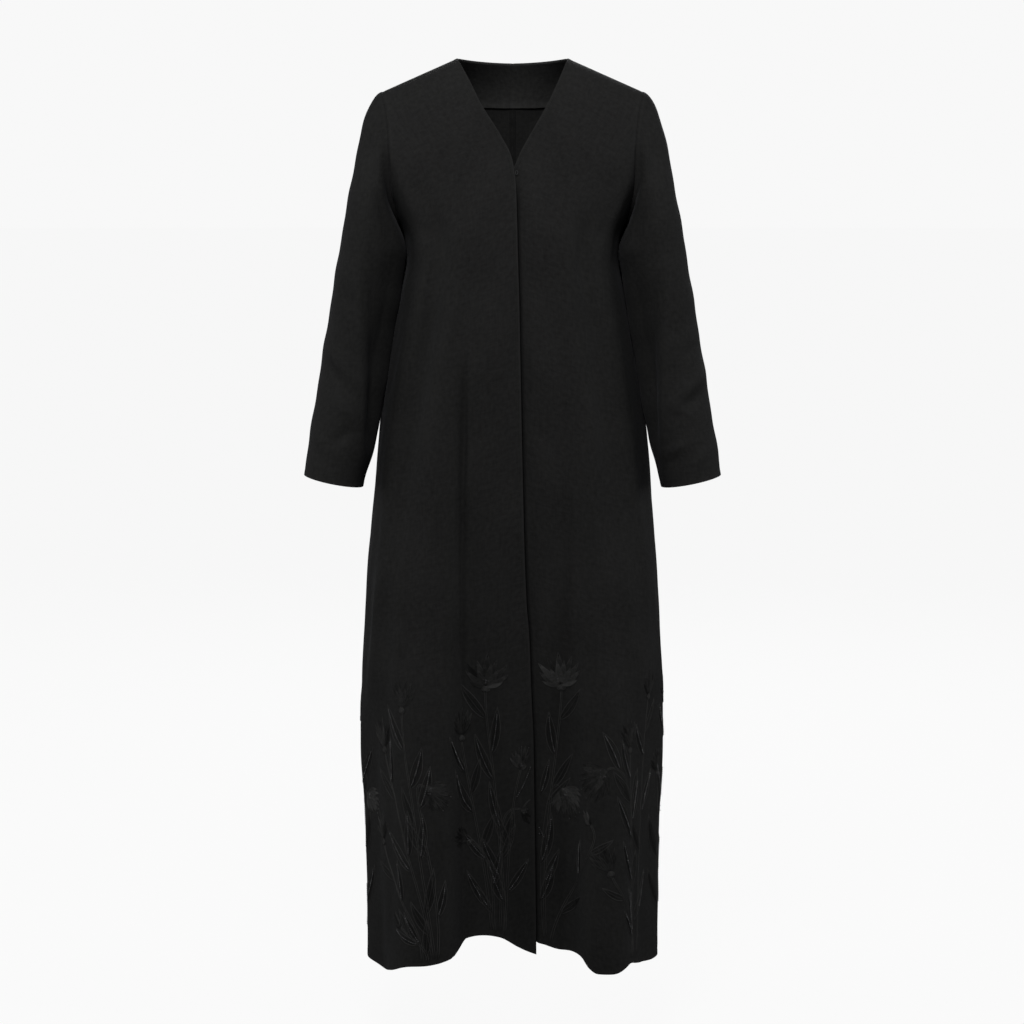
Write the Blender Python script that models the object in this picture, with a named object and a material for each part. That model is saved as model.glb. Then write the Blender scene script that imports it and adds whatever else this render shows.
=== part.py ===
"""Abaya cloak: open front with a narrow lap, V neck, set-in sleeves, walls of cloth.

+X is to the wearer's left, the front faces -Y, +Z is up. The origin lies midway between the two high
shoulder points. All lengths are in metres, all angles in the tables in degrees.
"""

import math

import bmesh
import bpy
import numpy as np

WALL = 0.0018
SEAM_GAP = 0.0003
RIDGE_Y = 0.010
NECK_HALF = 0.0855
BACK_NECK_DROP = 0.005
SHOULDER_HALF = 0.2010
SHOULDER_SLOPE = 0.44
ROLL_FRONT = 0.130
ROLL_BACK = 0.120
UNDERARM_Z = -0.262
HEM_Z = -1.400
LAP_CLEAR = 0.0008
SLEEVE_TILT = math.radians(10.7)
SLEEVE_TURN = math.radians(13.0)
FACING_ROWS = 3
FACING_COLUMNS = 9
FACING_WALL = 0.0010
FACING_CLEAR = 0.0005
HOOK_Z = -0.1765
HOOK_WIDE = 0.0018
HOOK_TALL = 0.0030
HOOK_WIRE = 0.00045

# height, half width, depth of the front, depth of the back, squareness of the section
SECTION = (
    (0.045, 0.266, 0.070, 0.086, 0.03),
    (0.000, 0.262, 0.072, 0.090, 0.03),
    (-0.053, 0.249, 0.079, 0.102, 0.04),
    (-0.106, 0.2335, 0.090, 0.113, 0.05),
    (-0.137, 0.2225, 0.097, 0.118, 0.06),
    (-0.168, 0.2135, 0.105, 0.122, 0.06),
    (-0.199, 0.2030, 0.113, 0.124, 0.06),
    (-0.224, 0.1910, 0.119, 0.124, 0.06),
    (-0.245, 0.1815, 0.123, 0.124, 0.06),
    (-0.262, 0.1725, 0.126, 0.123, 0.06),
    (-0.278, 0.1680, 0.128, 0.122, 0.06),
    (-0.310, 0.1655, 0.130, 0.120, 0.06),
    (-0.357, 0.1735, 0.131, 0.118, 0.06),
    (-0.440, 0.1885, 0.132, 0.118, 0.06),
    (-0.527, 0.2030, 0.133, 0.122, 0.06),
    (-0.575, 0.2095, 0.134, 0.126, 0.06),
    (-0.685, 0.2198, 0.139, 0.136, 0.06),
    (-0.780, 0.2282, 0.144, 0.145, 0.06),
    (-0.876, 0.2336, 0.149, 0.152, 0.06),
    (-0.972, 0.2374, 0.154, 0.159, 0.06),
    (-1.068, 0.2378, 0.158, 0.165, 0.06),
    (-1.166, 0.2348, 0.162, 0.170, 0.06),
    (-1.263, 0.2332, 0.164, 0.175, 0.06),
    (-1.440, 0.2328, 0.166, 0.181, 0.06),
)

# height, x of the armhole edge
ARMHOLE = (
    (-0.0508, 0.2010),
    (-0.0570, 0.2003),
    (-0.0757, 0.1957),
    (-0.1063, 0.1915),
    (-0.1366, 0.1890),
    (-0.1680, 0.1880),
    (-0.1993, 0.1867),
    (-0.2244, 0.1832),
    (-0.2453, 0.1785),
    (-0.2620, 0.1725),
)

# height, x of the upper front's edge, x of the under front's edge
FRONT_EDGE = (
    (0.000, -0.0855, 0.0855),
    (-0.0350, -0.0662, 0.0706),
    (-0.0717, -0.0480, 0.0535),
    (-0.1111, -0.0232, 0.0312),
    (-0.1256, -0.0146, 0.0228),
    (-0.1444, -0.0044, 0.0126),
    (-0.1600, 0.0006, 0.0058),
    (-0.1720, 0.0024, 0.0002),
    (-0.1900, 0.0048, -0.0098),
    (-0.2100, 0.0058, -0.0180),
    (-0.2400, 0.0066, -0.0225),
    (-0.2930, 0.0078, -0.0232),
    (-0.3680, 0.0100, -0.0210),
    (-0.5200, 0.0130, -0.0180),
    (-0.6430, 0.0156, -0.0154),
    (-0.7355, 0.0178, -0.0132),
    (-0.8395, 0.0220, -0.0090),
    (-0.8847, 0.0258, -0.0052),
    (-0.9848, 0.0294, -0.0016),
    (-1.0477, 0.0325, 0.0015),
    (-1.2218, 0.0351, 0.0041),
    (-1.4400, 0.0380, 0.0070),
)

# angle, height of the hem
HEM_UPPER = (
    (-90, -1.4120),
    (-75, -1.4200),
    (-64, -1.4250),
    (-54, -1.4180),
    (-40, -1.4010),
    (-33, -1.3985),
    (-29, -1.3950),
    (-26, -1.3910),
    (-23.5, -1.3880),
    (-20.5, -1.3740),
    (-18, -1.3670),
    (-12, -1.3625),
    (-5, -1.3665),
    (2, -1.3815),
    (6, -1.3890),
    (11, -1.3965),
)
HEM_UNDER = (
    (-10, -1.3660),
    (3, -1.3720),
    (12, -1.3785),
    (19, -1.3865),
    (24, -1.3880),
    (26.5, -1.3895),
    (29.5, -1.4030),
    (33, -1.4115),
    (39, -1.4125),
    (46, -1.4070),
    (50, -1.4045),
    (57, -1.4095),
    (64, -1.4145),
    (72, -1.4160),
    (80, -1.4140),
    (90, -1.4120),
)
HEM_BACK = (
    (90, -1.4120),
    (112, -1.4020),
    (131, -1.4060),
    (150, -1.3960),
    (166, -1.4010),
    (180, -1.3960),
    (196, -1.4020),
    (213, -1.3950),
    (231, -1.4070),
    (250, -1.4010),
    (270, -1.4120),
)

# starts at z, full at z, fades from z, gone at z, angle at the start, angle at the end, offset, half width
FOLDS = (
    (-0.15, -0.30, -0.60, -0.88, -41, -53, -0.0120, 7.0),
    (-0.30, -0.46, -0.62, -0.90, -31, -35, 0.0060, 8.0),
    (-0.16, -0.34, -0.60, -0.88, 41, 48, -0.0110, 7.0),
    (-0.28, -0.44, -0.60, -0.90, 31, 33, 0.0050, 8.0),
    (-0.40, -0.66, -0.90, -1.20, -16, -15, -0.0040, 5.0),
    (-0.74, -0.82, -0.92, -1.06, -58, -74, 0.0055, 6.0),
    (-0.72, -0.82, -0.92, -1.06, 47, 62, 0.0055, 6.0),
    (-0.70, -1.36, -2.00, -2.10, -38, -40, 0.0190, 12.0),
    (-0.72, -1.36, -2.00, -2.10, 39, 41, 0.0210, 11.0),
    (-0.80, -1.36, -2.00, -2.10, -69, -66, -0.0090, 8.0),
    (-0.84, -1.36, -2.00, -2.10, 66, 64, -0.0080, 7.0),
    (-0.92, -1.05, -1.08, -1.22, -88, -88, 0.0035, 10.0),
    (-0.60, -1.36, -2.00, -2.10, 111, 113, -0.0150, 9.0),
    (-0.50, -1.36, -2.00, -2.10, 131, 133, 0.0160, 10.0),
    (-0.42, -1.36, -2.00, -2.10, 152, 151, -0.0240, 9.0),
    (-0.46, -1.36, -2.00, -2.10, 170, 168, 0.0130, 8.0),
    (-0.46, -1.36, -2.00, -2.10, 194, 195, 0.0160, 8.0),
    (-0.38, -1.36, -2.00, -2.10, 209, 212, -0.0260, 9.0),
    (-0.52, -1.36, -2.00, -2.10, 229, 231, 0.0170, 10.0),
    (-0.64, -1.36, -2.00, -2.10, 248, 250, -0.0140, 9.0),
    (-0.16, -0.30, -0.44, -0.72, 138, 146, -0.0090, 8.0),
    (-0.17, -0.32, -0.42, -0.70, 222, 215, -0.0080, 8.0),
)

# The middle of the skirt falls back between its two side lobes
SETBACK_START = -0.42
SETBACK_FULL = -1.40
SETBACK_DEPTH = 0.052
SETBACK_LEFT = -21.0
SETBACK_RIGHT = 26.5
SETBACK_BLEND = 3.0

# height of the axis, x of the axis, y of the axis, half width, half depth of the sleeve tube
SLEEVE = (
    (-0.300, 0.2170, -0.0200, 0.0515, 0.0690),
    (-0.360, 0.2265, -0.0215, 0.0517, 0.0700),
    (-0.440, 0.2398, -0.0235, 0.0518, 0.0700),
    (-0.520, 0.2530, -0.0260, 0.0518, 0.0680),
    (-0.580, 0.2636, -0.0285, 0.0512, 0.0655),
    (-0.630, 0.2748, -0.0320, 0.0480, 0.0615),
    (-0.6525, 0.2792, -0.0340, 0.0467, 0.0600),
)

# part of the way around, outward reach at the armhole, reach above the first ring, direction at the armhole
SLEEVE_HEAD = (
    (0.00, 0.034, 0.120, 0.98, 0.00, -0.18),
    (0.25, 0.030, 0.100, 0.92, -0.18, -0.35),
    (0.50, 0.026, 0.070, 0.85, -0.25, -0.47),
    (0.75, 0.018, 0.045, 0.72, -0.10, -0.69),
    (1.00, 0.009, 0.020, 0.15, 0.00, -0.99),
)

# x and z of each end of a crease in the sleeve seen from its face, face, offset, half width
SLEEVE_CREASES = (
    (0.226, -0.120, 0.186, -0.275, -1, -0.0070, 0.013),
    (0.232, -0.130, 0.196, -0.270, 1, -0.0060, 0.014),
    (0.252, -0.300, 0.231, -0.470, -1, -0.0035, 0.014),
    (0.205, -0.400, 0.275, -0.440, 1, -0.0040, 0.014),
)

ROW_SHARES = (0.0, 0.03, 0.118, 0.266, 0.40, 0.55, 0.70, 0.82, 0.92, 1.0)
ROW_HEIGHTS = (
    -0.278, -0.305, -0.345, -0.395, -0.455, -0.520, -0.590, -0.660, -0.735,
    -0.810, -0.885, -0.960, -1.035, -1.110, -1.185, -1.260, -1.330, -1.400,
)
COLUMNS_UPPER = (0.0, 0.055, 0.13, 0.20, 0.255, 0.285, 0.315, 0.35, 0.41, 0.49, 0.57, 0.65, 0.74, 0.83, 0.92, 1.0)
COLUMNS_UNDER = (0.0, 0.07, 0.15, 0.215, 0.25, 0.28, 0.31, 0.35, 0.42, 0.50, 0.58, 0.66, 0.75, 0.84, 0.92, 1.0)
COLUMNS_BACK = (0.0, 0.06, 0.12, 0.18, 0.25, 0.32, 0.39, 0.46, 0.53, 0.60, 0.67, 0.74, 0.81, 0.88, 0.94, 1.0)
SLEEVE_HEAD_ROWS = (0.10, 0.24, 0.40, 0.58, 0.78, 1.0)
SLEEVE_TUBE_ROWS = (0.10, 0.22, 0.34, 0.46, 0.58, 0.70, 0.82, 0.92, 1.0)

CLOTH_COLOUR = (0.0105, 0.0105, 0.0112, 1.0)
FACING_COLOUR = (0.0085, 0.0085, 0.0090, 1.0)
HOOK_COLOUR = (0.0200, 0.0200, 0.0210, 1.0)


def smooth(knots, values, at):
    """Monotone cubic through the knots, flat where the values turn."""
    knots = np.asarray(knots, float)
    values = np.asarray(values, float)
    if knots[0] > knots[-1]:
        knots = knots[::-1]
        values = values[::-1]
    step = np.diff(knots)
    rise = np.diff(values) / step
    slope = np.zeros(len(knots))
    same = rise[:-1] * rise[1:] > 0
    total = np.where(same, rise[:-1] + rise[1:], 1.0)
    slope[1:-1] = np.where(same, 2 * rise[:-1] * rise[1:] / total, 0.0)
    slope[0] = rise[0]
    slope[-1] = rise[-1]
    at = np.clip(np.asarray(at, float), knots[0], knots[-1])
    cell = np.clip(np.searchsorted(knots, at, side="right") - 1, 0, len(step) - 1)
    t = (at - knots[cell]) / step[cell]
    low = values[cell]
    high = values[cell + 1]
    lean_low = slope[cell] * step[cell]
    lean_high = slope[cell + 1] * step[cell]
    return (
        (2 * t**3 - 3 * t**2 + 1) * low
        + (t**3 - 2 * t**2 + t) * lean_low
        + (-2 * t**3 + 3 * t**2) * high
        + (t**3 - t**2) * lean_high
    )


def column(table, number, at):
    """One named column of a table, read smoothly at the given first column."""
    rows = np.asarray(table, float)
    return smooth(rows[:, 0], rows[:, number], at)


def ease(value):
    """Soft step from 0 to 1 for values from 0 to 1."""
    value = np.clip(value, 0.0, 1.0)
    return value * value * (3 - 2 * value)


def unit(vectors):
    """Vectors of length one."""
    return vectors / np.maximum(np.linalg.norm(vectors, axis=-1, keepdims=True), 1e-12)


def ridge(x):
    """Height of the shoulder ridge, carried on past the neck as a straight slope."""
    return -SHOULDER_SLOPE * (np.abs(x) - NECK_HALF)


def top_of_back(x):
    """Upper edge of the back: neck curve, then the shoulder ridge."""
    share = np.clip(np.abs(x) / NECK_HALF, 0.0, 1.0)
    return np.where(np.abs(x) < NECK_HALF, -BACK_NECK_DROP * (1 - share**2), ridge(x))


def fold_offset(theta, z):
    """How far folds carry the cloth out of the plain section at an angle and a height."""
    degrees = np.degrees(theta) % 360.0
    total = np.zeros(np.broadcast(theta, z).shape)
    for start, full, fade, gone, first, last, offset, width in FOLDS:
        travel = np.clip((z - start) / (max(gone, HEM_Z) - start), 0.0, 1.0)
        centre = first + (last - first) * travel
        away = (degrees - centre + 180.0) % 360.0 - 180.0
        grow = ease((start - z) / (start - full))
        leave = 1 - ease((fade - z) / (fade - gone))
        total = total + offset * grow * leave * np.exp(-((away / width) ** 2))
    return total


def setback(theta, z):
    """How far the middle of the skirt falls back between its side lobes."""
    signed = (np.degrees(theta) + 180.0) % 360.0 - 180.0
    left = np.tanh((signed - SETBACK_LEFT) / SETBACK_BLEND)
    right = np.tanh((signed - SETBACK_RIGHT) / SETBACK_BLEND)
    depth = ease((SETBACK_START - z) / (SETBACK_START - SETBACK_FULL)) * SETBACK_DEPTH
    return 0.5 * (left - right) * depth


def body_point(theta, z, inset=0.0):
    """Outer face of the body: a soft section at each height, rolled over to the shoulder ridge."""
    theta, z, inset = np.broadcast_arrays(theta, z, inset)
    half = column(SECTION, 1, z)
    front = column(SECTION, 2, z)
    back = column(SECTION, 3, z)
    square = column(SECTION, 4, z)
    cosine = np.cos(theta)
    is_front = cosine >= 0
    part = np.abs(cosine)
    shape = (part - square * (4 * part**3 - 3 * part)) / (1 - square)
    x = half * np.sin(theta)
    drop = np.maximum(ridge(x) - z, 0.0)
    roll_front = np.sqrt(1 - (1 - np.minimum(drop / ROLL_FRONT, 1.0)) ** 2)
    roll_back = np.sqrt(1 - (1 - np.minimum(drop / ROLL_BACK, 1.0)) ** 2)
    reach = np.where(is_front, -front * roll_front, back * roll_back) * shape
    deep = np.where(is_front, front, back)
    out_x = deep * np.sin(theta)
    out_y = -half * cosine
    length = np.maximum(np.hypot(out_x, out_y), 1e-9)
    offset = fold_offset(theta, z) - inset
    y = RIDGE_Y + reach + offset * out_y / length + setback(theta, z)
    return np.stack([x + offset * out_x / length, y, z], -1)


def lap_inset(x, z):
    """How far the under front lies inside the upper one."""
    edge = column(FRONT_EDGE, 1, z)
    near = 1 - ease((x - edge - 0.006) / 0.028)
    below = ease((-0.135 - z) / 0.030)
    return (WALL + LAP_CLEAR) * near * below


def level(x, share, top):
    """Height of a row at x: from the top edge down to the underarm by its share."""
    return top(x) * (1 - share) + UNDERARM_Z * share


def row_ends(share, top, inner):
    """Angles of the inner and outer ends of a row above the underarm."""
    x = SHOULDER_HALF
    for _ in range(30):
        x = float(column(ARMHOLE, 1, level(x, share, top)))
    z_out = float(level(x, share, top))
    outer = math.asin(min(x / float(column(SECTION, 1, z_out)), 1.0))
    if inner is None:
        return 0.0, outer
    x = float(column(FRONT_EDGE, inner, 0.0))
    for _ in range(60):
        x = 0.5 * x + 0.5 * float(column(FRONT_EDGE, inner, level(x, share, top)))
    z_in = float(level(x, share, top))
    return math.asin(x / float(column(SECTION, 1, z_in))), outer


def hem_height(theta, table):
    """Height of the hem at an angle."""
    return column(table, 1, np.degrees(theta))


def panel_grid(columns, side, inner, hem, back):
    """Points of a panel's outer face, rows from the top edge to the hem, columns from the inner edge.

    side is +1 for the wearer's left and -1 for the right; inner is the column of the front edge table.
    """
    top = top_of_back if back else ridge
    columns = np.asarray(columns, float)
    rows = []
    for share in ROW_SHARES:
        first, last = row_ends(share, top, inner)
        if back:
            theta = np.pi - columns * last
        else:
            theta = first + (side * last - first) * columns
        z = np.full(len(columns), UNDERARM_Z * share)
        for _ in range(12):
            x = column(SECTION, 1, z) * np.sin(theta)
            z = level(x, share, top)
        rows.append((theta, z))
    for height in ROW_HEIGHTS:
        low = ease((-0.90 - height) / 0.50)
        if back:
            theta = np.pi - columns * np.pi / 2
            angle = theta if side > 0 else 2 * np.pi - theta
        else:
            edge = float(column(FRONT_EDGE, inner, height))
            first = math.asin(edge / float(column(SECTION, 1, height)))
            theta = first + (side * np.pi / 2 - first) * columns
            angle = theta
        z = height + low * (hem_height(angle, hem) - HEM_Z)
        rows.append((theta, z))
    theta = np.array([row[0] for row in rows])
    z = np.array([row[1] for row in rows])
    if back:
        theta = theta if side > 0 else 2 * np.pi - theta
    inset = np.zeros(z.shape)
    if inner == 2:
        inset = lap_inset(column(SECTION, 1, z) * np.sin(theta), z)
    return body_point(theta, z, inset)


def neck_column(columns):
    """Columns of a back panel with the nearest one moved onto the high shoulder point."""
    _, outer = row_ends(0.0, top_of_back, None)
    share = math.asin(NECK_HALF / float(column(SECTION, 1, 0.0))) / outer
    columns = list(columns)
    nearest = min(range(len(columns)), key=lambda i: abs(columns[i] - share))
    columns[nearest] = share
    return columns, nearest


def sleeve_ring(along, around):
    """Outer face of the sleeve tube on the wearer's left; along 0 at the first ring, 1 at the cuff."""
    heights = np.asarray(SLEEVE)[:, 0]
    z = heights[0] + (heights[-1] - heights[0]) * along
    x = column(SLEEVE, 1, z)
    y = column(SLEEVE, 2, z)
    wide = column(SLEEVE, 3, z) * np.cos(around)
    deep = column(SLEEVE, 4, z) * np.sin(around)
    slant = wide * math.cos(SLEEVE_TURN) - deep * math.sin(SLEEVE_TURN)
    return np.stack(
        [
            x + slant * math.cos(SLEEVE_TILT),
            y - wide * math.sin(SLEEVE_TURN) - deep * math.cos(SLEEVE_TURN),
            z + slant * math.sin(SLEEVE_TILT),
        ],
        -1,
    )


def sleeve_creases(points, outward, start):
    """Moves sleeve points in along the creases seen on the two faces of the sleeve."""
    points = points.copy()
    flat = points[..., [0, 2]]
    move = np.zeros(points.shape[:-1])
    for x0, z0, x1, z1, face, offset, width in SLEEVE_CREASES:
        a = np.array([x0, z0])
        b = np.array([x1, z1])
        t = np.clip(((flat - a) @ (b - a)) / ((b - a) @ (b - a)), 0.0, 1.0)
        away = np.linalg.norm(flat - (a + t[..., None] * (b - a)), axis=-1)
        ends = np.sin(np.pi * np.clip(0.12 + 0.76 * t, 0, 1))
        shown = np.clip(face * outward[..., 1] * 1.6, 0.0, 1.0)
        move = move + offset * ends * shown * np.exp(-((away / width) ** 2))
    return points + outward * (move * start)[..., None]


def sleeve_grid(loop, step_out):
    """Rows of the sleeve's outer face from the armhole loop to the cuff, on the wearer's left."""
    count = len(loop)
    half = count // 2
    arc = np.r_[0, np.cumsum(np.linalg.norm(np.diff(np.vstack([loop, loop[:1]]), axis=0), axis=1))]
    around = np.empty(count)
    around[: half + 1] = np.pi * arc[: half + 1] / arc[half]
    around[half:] = np.pi + np.pi * (arc[half:count] - arc[half]) / (arc[count] - arc[half])
    share = np.minimum(around, 2 * np.pi - around) / np.pi
    reach = column(SLEEVE_HEAD, 1, share)
    above = column(SLEEVE_HEAD, 2, share)
    lead = np.stack([column(SLEEVE_HEAD, n, share) for n in (3, 4, 5)], -1)
    lead[:, 1] = lead[:, 1] * np.where(around > np.pi, -1.0, 1.0)
    lead = unit(lead)
    axis = np.array([math.sin(SLEEVE_TILT), 0.0, -math.cos(SLEEVE_TILT)])
    p0 = loop + step_out
    p3 = sleeve_ring(np.zeros(count), around)
    p1 = p0 + lead * reach[:, None]
    p2 = p3 - axis * above[:, None]
    rows = [p0]
    for t in SLEEVE_HEAD_ROWS:
        rows.append(
            (1 - t) ** 3 * p0 + 3 * t * (1 - t) ** 2 * p1 + 3 * t**2 * (1 - t) * p2 + t**3 * p3
        )
    for t in SLEEVE_TUBE_ROWS:
        rows.append(sleeve_ring(np.full(count, t), around))
    points = np.array(rows)
    outward = grid_normals(points, True)
    start = np.minimum(np.arange(len(rows)) / 2.0, 1.0)[:, None] * np.ones(count)
    return sleeve_creases(points, outward, start)


def grid_normals(points, closed):
    """Unit normals of a grid of points, pointing away from the wearer."""
    down = np.gradient(points, axis=0)
    if closed:
        across = np.roll(points, -1, axis=1) - np.roll(points, 1, axis=1)
    else:
        across = np.gradient(points, axis=1)
    return unit(np.cross(across, down))


def face_normals(points):
    """Sum of the four corner normals around each grid point, without unit length."""
    total = np.zeros(points.shape)
    a = points[:-1, :-1]
    b = points[:-1, 1:]
    c = points[1:, 1:]
    d = points[1:, :-1]
    face = np.cross(c - a, d - b)
    total[:-1, :-1] += face
    total[:-1, 1:] += face
    total[1:, 1:] += face
    total[1:, :-1] += face
    return total


def shared_normals(grids):
    """Normals of all panels, one and the same where two panels meet."""
    sums = {}
    parts = {}
    for name, points in grids.items():
        total = face_normals(points)
        middle = points.mean(axis=(0, 1))
        sign = np.sign(np.sum(total.reshape(-1, 3).sum(0) * (middle - [0.0, RIDGE_Y, middle[2]])))
        total = total * sign
        parts[name] = total
        for key, value in zip(np.round(points.reshape(-1, 3), 6), total.reshape(-1, 3)):
            key = tuple(key + 0.0)
            sums[key] = sums.get(key, 0.0) + value
    out = {}
    for name, points in grids.items():
        keys = [tuple(key + 0.0) for key in np.round(points.reshape(-1, 3), 6)]
        out[name] = unit(np.array([sums[key] for key in keys]).reshape(points.shape))
    return out


def shift_edge(outer, inner, edge, inward, amount):
    """Moves the points of one edge of a wall back along the cloth."""
    rows, cols = edge
    away = outer[rows, cols] - outer[inward[0], inward[1]]
    wall = unit(outer[rows, cols] - inner[rows, cols])
    away = unit(away - wall * np.sum(away * wall, axis=-1, keepdims=True))
    outer[rows, cols] -= away * amount
    inner[rows, cols] -= away * amount


def finish_mesh(mesh, name, material, group):
    """Turns the faces outward and places the solid in the collection."""
    solid = bmesh.new()
    solid.from_mesh(mesh)
    bmesh.ops.recalc_face_normals(solid, faces=solid.faces)
    if solid.calc_volume(signed=True) < 0:
        bmesh.ops.reverse_faces(solid, faces=solid.faces)
    solid.to_mesh(mesh)
    solid.free()
    mesh.materials.append(material)
    mesh.shade_smooth()
    group.objects.link(bpy.data.objects.new(name, mesh))


def wall_mesh(name, outer, inner, closed, material, group):
    """A closed solid between an outer and an inner grid of points."""
    rows, cols = outer.shape[:2]
    count = rows * cols
    verts = np.vstack([outer.reshape(-1, 3), inner.reshape(-1, 3)])
    index = np.arange(count).reshape(rows, cols)
    faces = []
    last = cols if closed else cols - 1
    for r in range(rows - 1):
        for c in range(last):
            d = (c + 1) % cols
            one, two, three, four = index[r, c], index[r, d], index[r + 1, d], index[r + 1, c]
            falling = np.linalg.norm(verts[one] - verts[three])
            rising = np.linalg.norm(verts[two] - verts[four])
            if falling <= rising:
                pair = ((one, two, three), (one, three, four))
            else:
                pair = ((one, two, four), (two, three, four))
            for corner in pair:
                faces.append(corner)
                faces.append(tuple(count + v for v in reversed(corner)))
    for r in (0, rows - 1):
        for c in range(last):
            d = (c + 1) % cols
            a, b = index[r, c], index[r, d]
            quad = (b, a, count + a, count + b)
            faces.append(quad if r == 0 else quad[::-1])
    if not closed:
        for c in (0, cols - 1):
            for r in range(rows - 1):
                a, b = index[r, c], index[r + 1, c]
                quad = (a, b, count + b, count + a)
                faces.append(quad if c == 0 else quad[::-1])
    mesh = bpy.data.meshes.new(name)
    mesh.from_pydata([tuple(v) for v in verts.tolist()], [], [tuple(int(i) for i in f) for f in faces])
    finish_mesh(mesh, name, material, group)


def cloth_material(name, colour, roughness, metallic=0.0):
    """A plain material in one colour."""
    material = bpy.data.materials.new(name)
    material.use_nodes = True
    shader = material.node_tree.nodes["Principled BSDF"]
    shader.inputs["Base Color"].default_value = colour
    shader.inputs["Roughness"].default_value = roughness
    shader.inputs["Metallic"].default_value = metallic
    material.diffuse_color = colour
    return material


def ridge_normal(points):
    """Upward normals along the shoulder ridge."""
    lean = np.sign(points[..., :1]) * SHOULDER_SLOPE
    return unit(np.concatenate([lean, np.zeros(lean.shape), np.ones(lean.shape)], -1))


def facing_half(points, normals, columns):
    """Rows and columns of one half of the facing, taken from the back panel's own points."""
    keep = FACING_ROWS + 1
    cover = points[:keep, :columns].copy()
    lean = normals[:keep, :columns].copy()
    for share, c in ((0.72, columns - 2), (0.36, columns - 1)):
        low = cover[-1, c].copy()
        cover[-1, c] = cover[-2, c] + (low - cover[-2, c]) * share
        lean[-1, c] = unit(lean[-2, c] + (lean[-1, c] - lean[-2, c]) * share)
    return cover, lean


def build_facing(grids, normals, columns, material, group):
    """Back neck facing: one piece inside both back panels."""
    left, lean_left = facing_half(grids["back_left"], normals["back_left"], columns)
    right, lean_right = facing_half(grids["back_right"], normals["back_right"], columns)
    points = np.concatenate([right[:, :0:-1], left], axis=1)
    lean = np.concatenate([lean_right[:, :0:-1], lean_left], axis=1)
    outer = points - lean * (WALL + FACING_CLEAR)
    inner = outer - lean * FACING_WALL
    across = np.arange(outer.shape[1])
    shift_edge(outer, inner, (0, across), (1, across), 0.0008)
    every = np.arange(outer.shape[0])
    shift_edge(outer, inner, (every, 0), (every, 1), 0.0008)
    shift_edge(outer, inner, (every, -1), (every, -2), 0.0008)
    wall_mesh("back_neck_facing", outer, inner, False, material, group)


def build_hook(material, group):
    """Wire eye of the neck hook, lying on the under front beside the upper front's edge."""
    edge = float(column(FRONT_EDGE, 1, HOOK_Z))
    x = edge + HOOK_WIRE + HOOK_WIDE + 0.0010
    theta = math.asin(x / float(column(SECTION, 1, HOOK_Z)))
    seat = body_point(theta, HOOK_Z, lap_inset(np.array(x), np.array(HOOK_Z)))
    rise = body_point(theta, HOOK_Z + 0.004, lap_inset(np.array(x), np.array(HOOK_Z + 0.004))) - seat
    side = body_point(theta + 0.01, HOOK_Z, lap_inset(np.array(x), np.array(HOOK_Z))) - seat
    up = unit(rise)
    across = unit(side - up * np.dot(side, up))
    out = np.cross(across, up)
    middle = seat + out * (HOOK_WIRE + 0.0005)
    bpy.ops.mesh.primitive_torus_add(
        major_segments=20, minor_segments=8, major_radius=HOOK_WIDE, minor_radius=HOOK_WIRE
    )
    ring = bpy.context.object
    mesh = ring.data
    mesh.name = "neck_hook"
    bpy.data.objects.remove(ring)
    local = np.array([vert.co[:] for vert in mesh.vertices])
    local[:, 1] += (HOOK_TALL - HOOK_WIDE) * np.clip(2 * local[:, 1] / HOOK_WIDE, -1.0, 1.0)
    placed = middle + local[:, :1] * across + local[:, 1:2] * up + local[:, 2:] * out
    mesh.vertices.foreach_set("co", placed.ravel())
    finish_mesh(mesh, "neck_hook", material, group)


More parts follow.
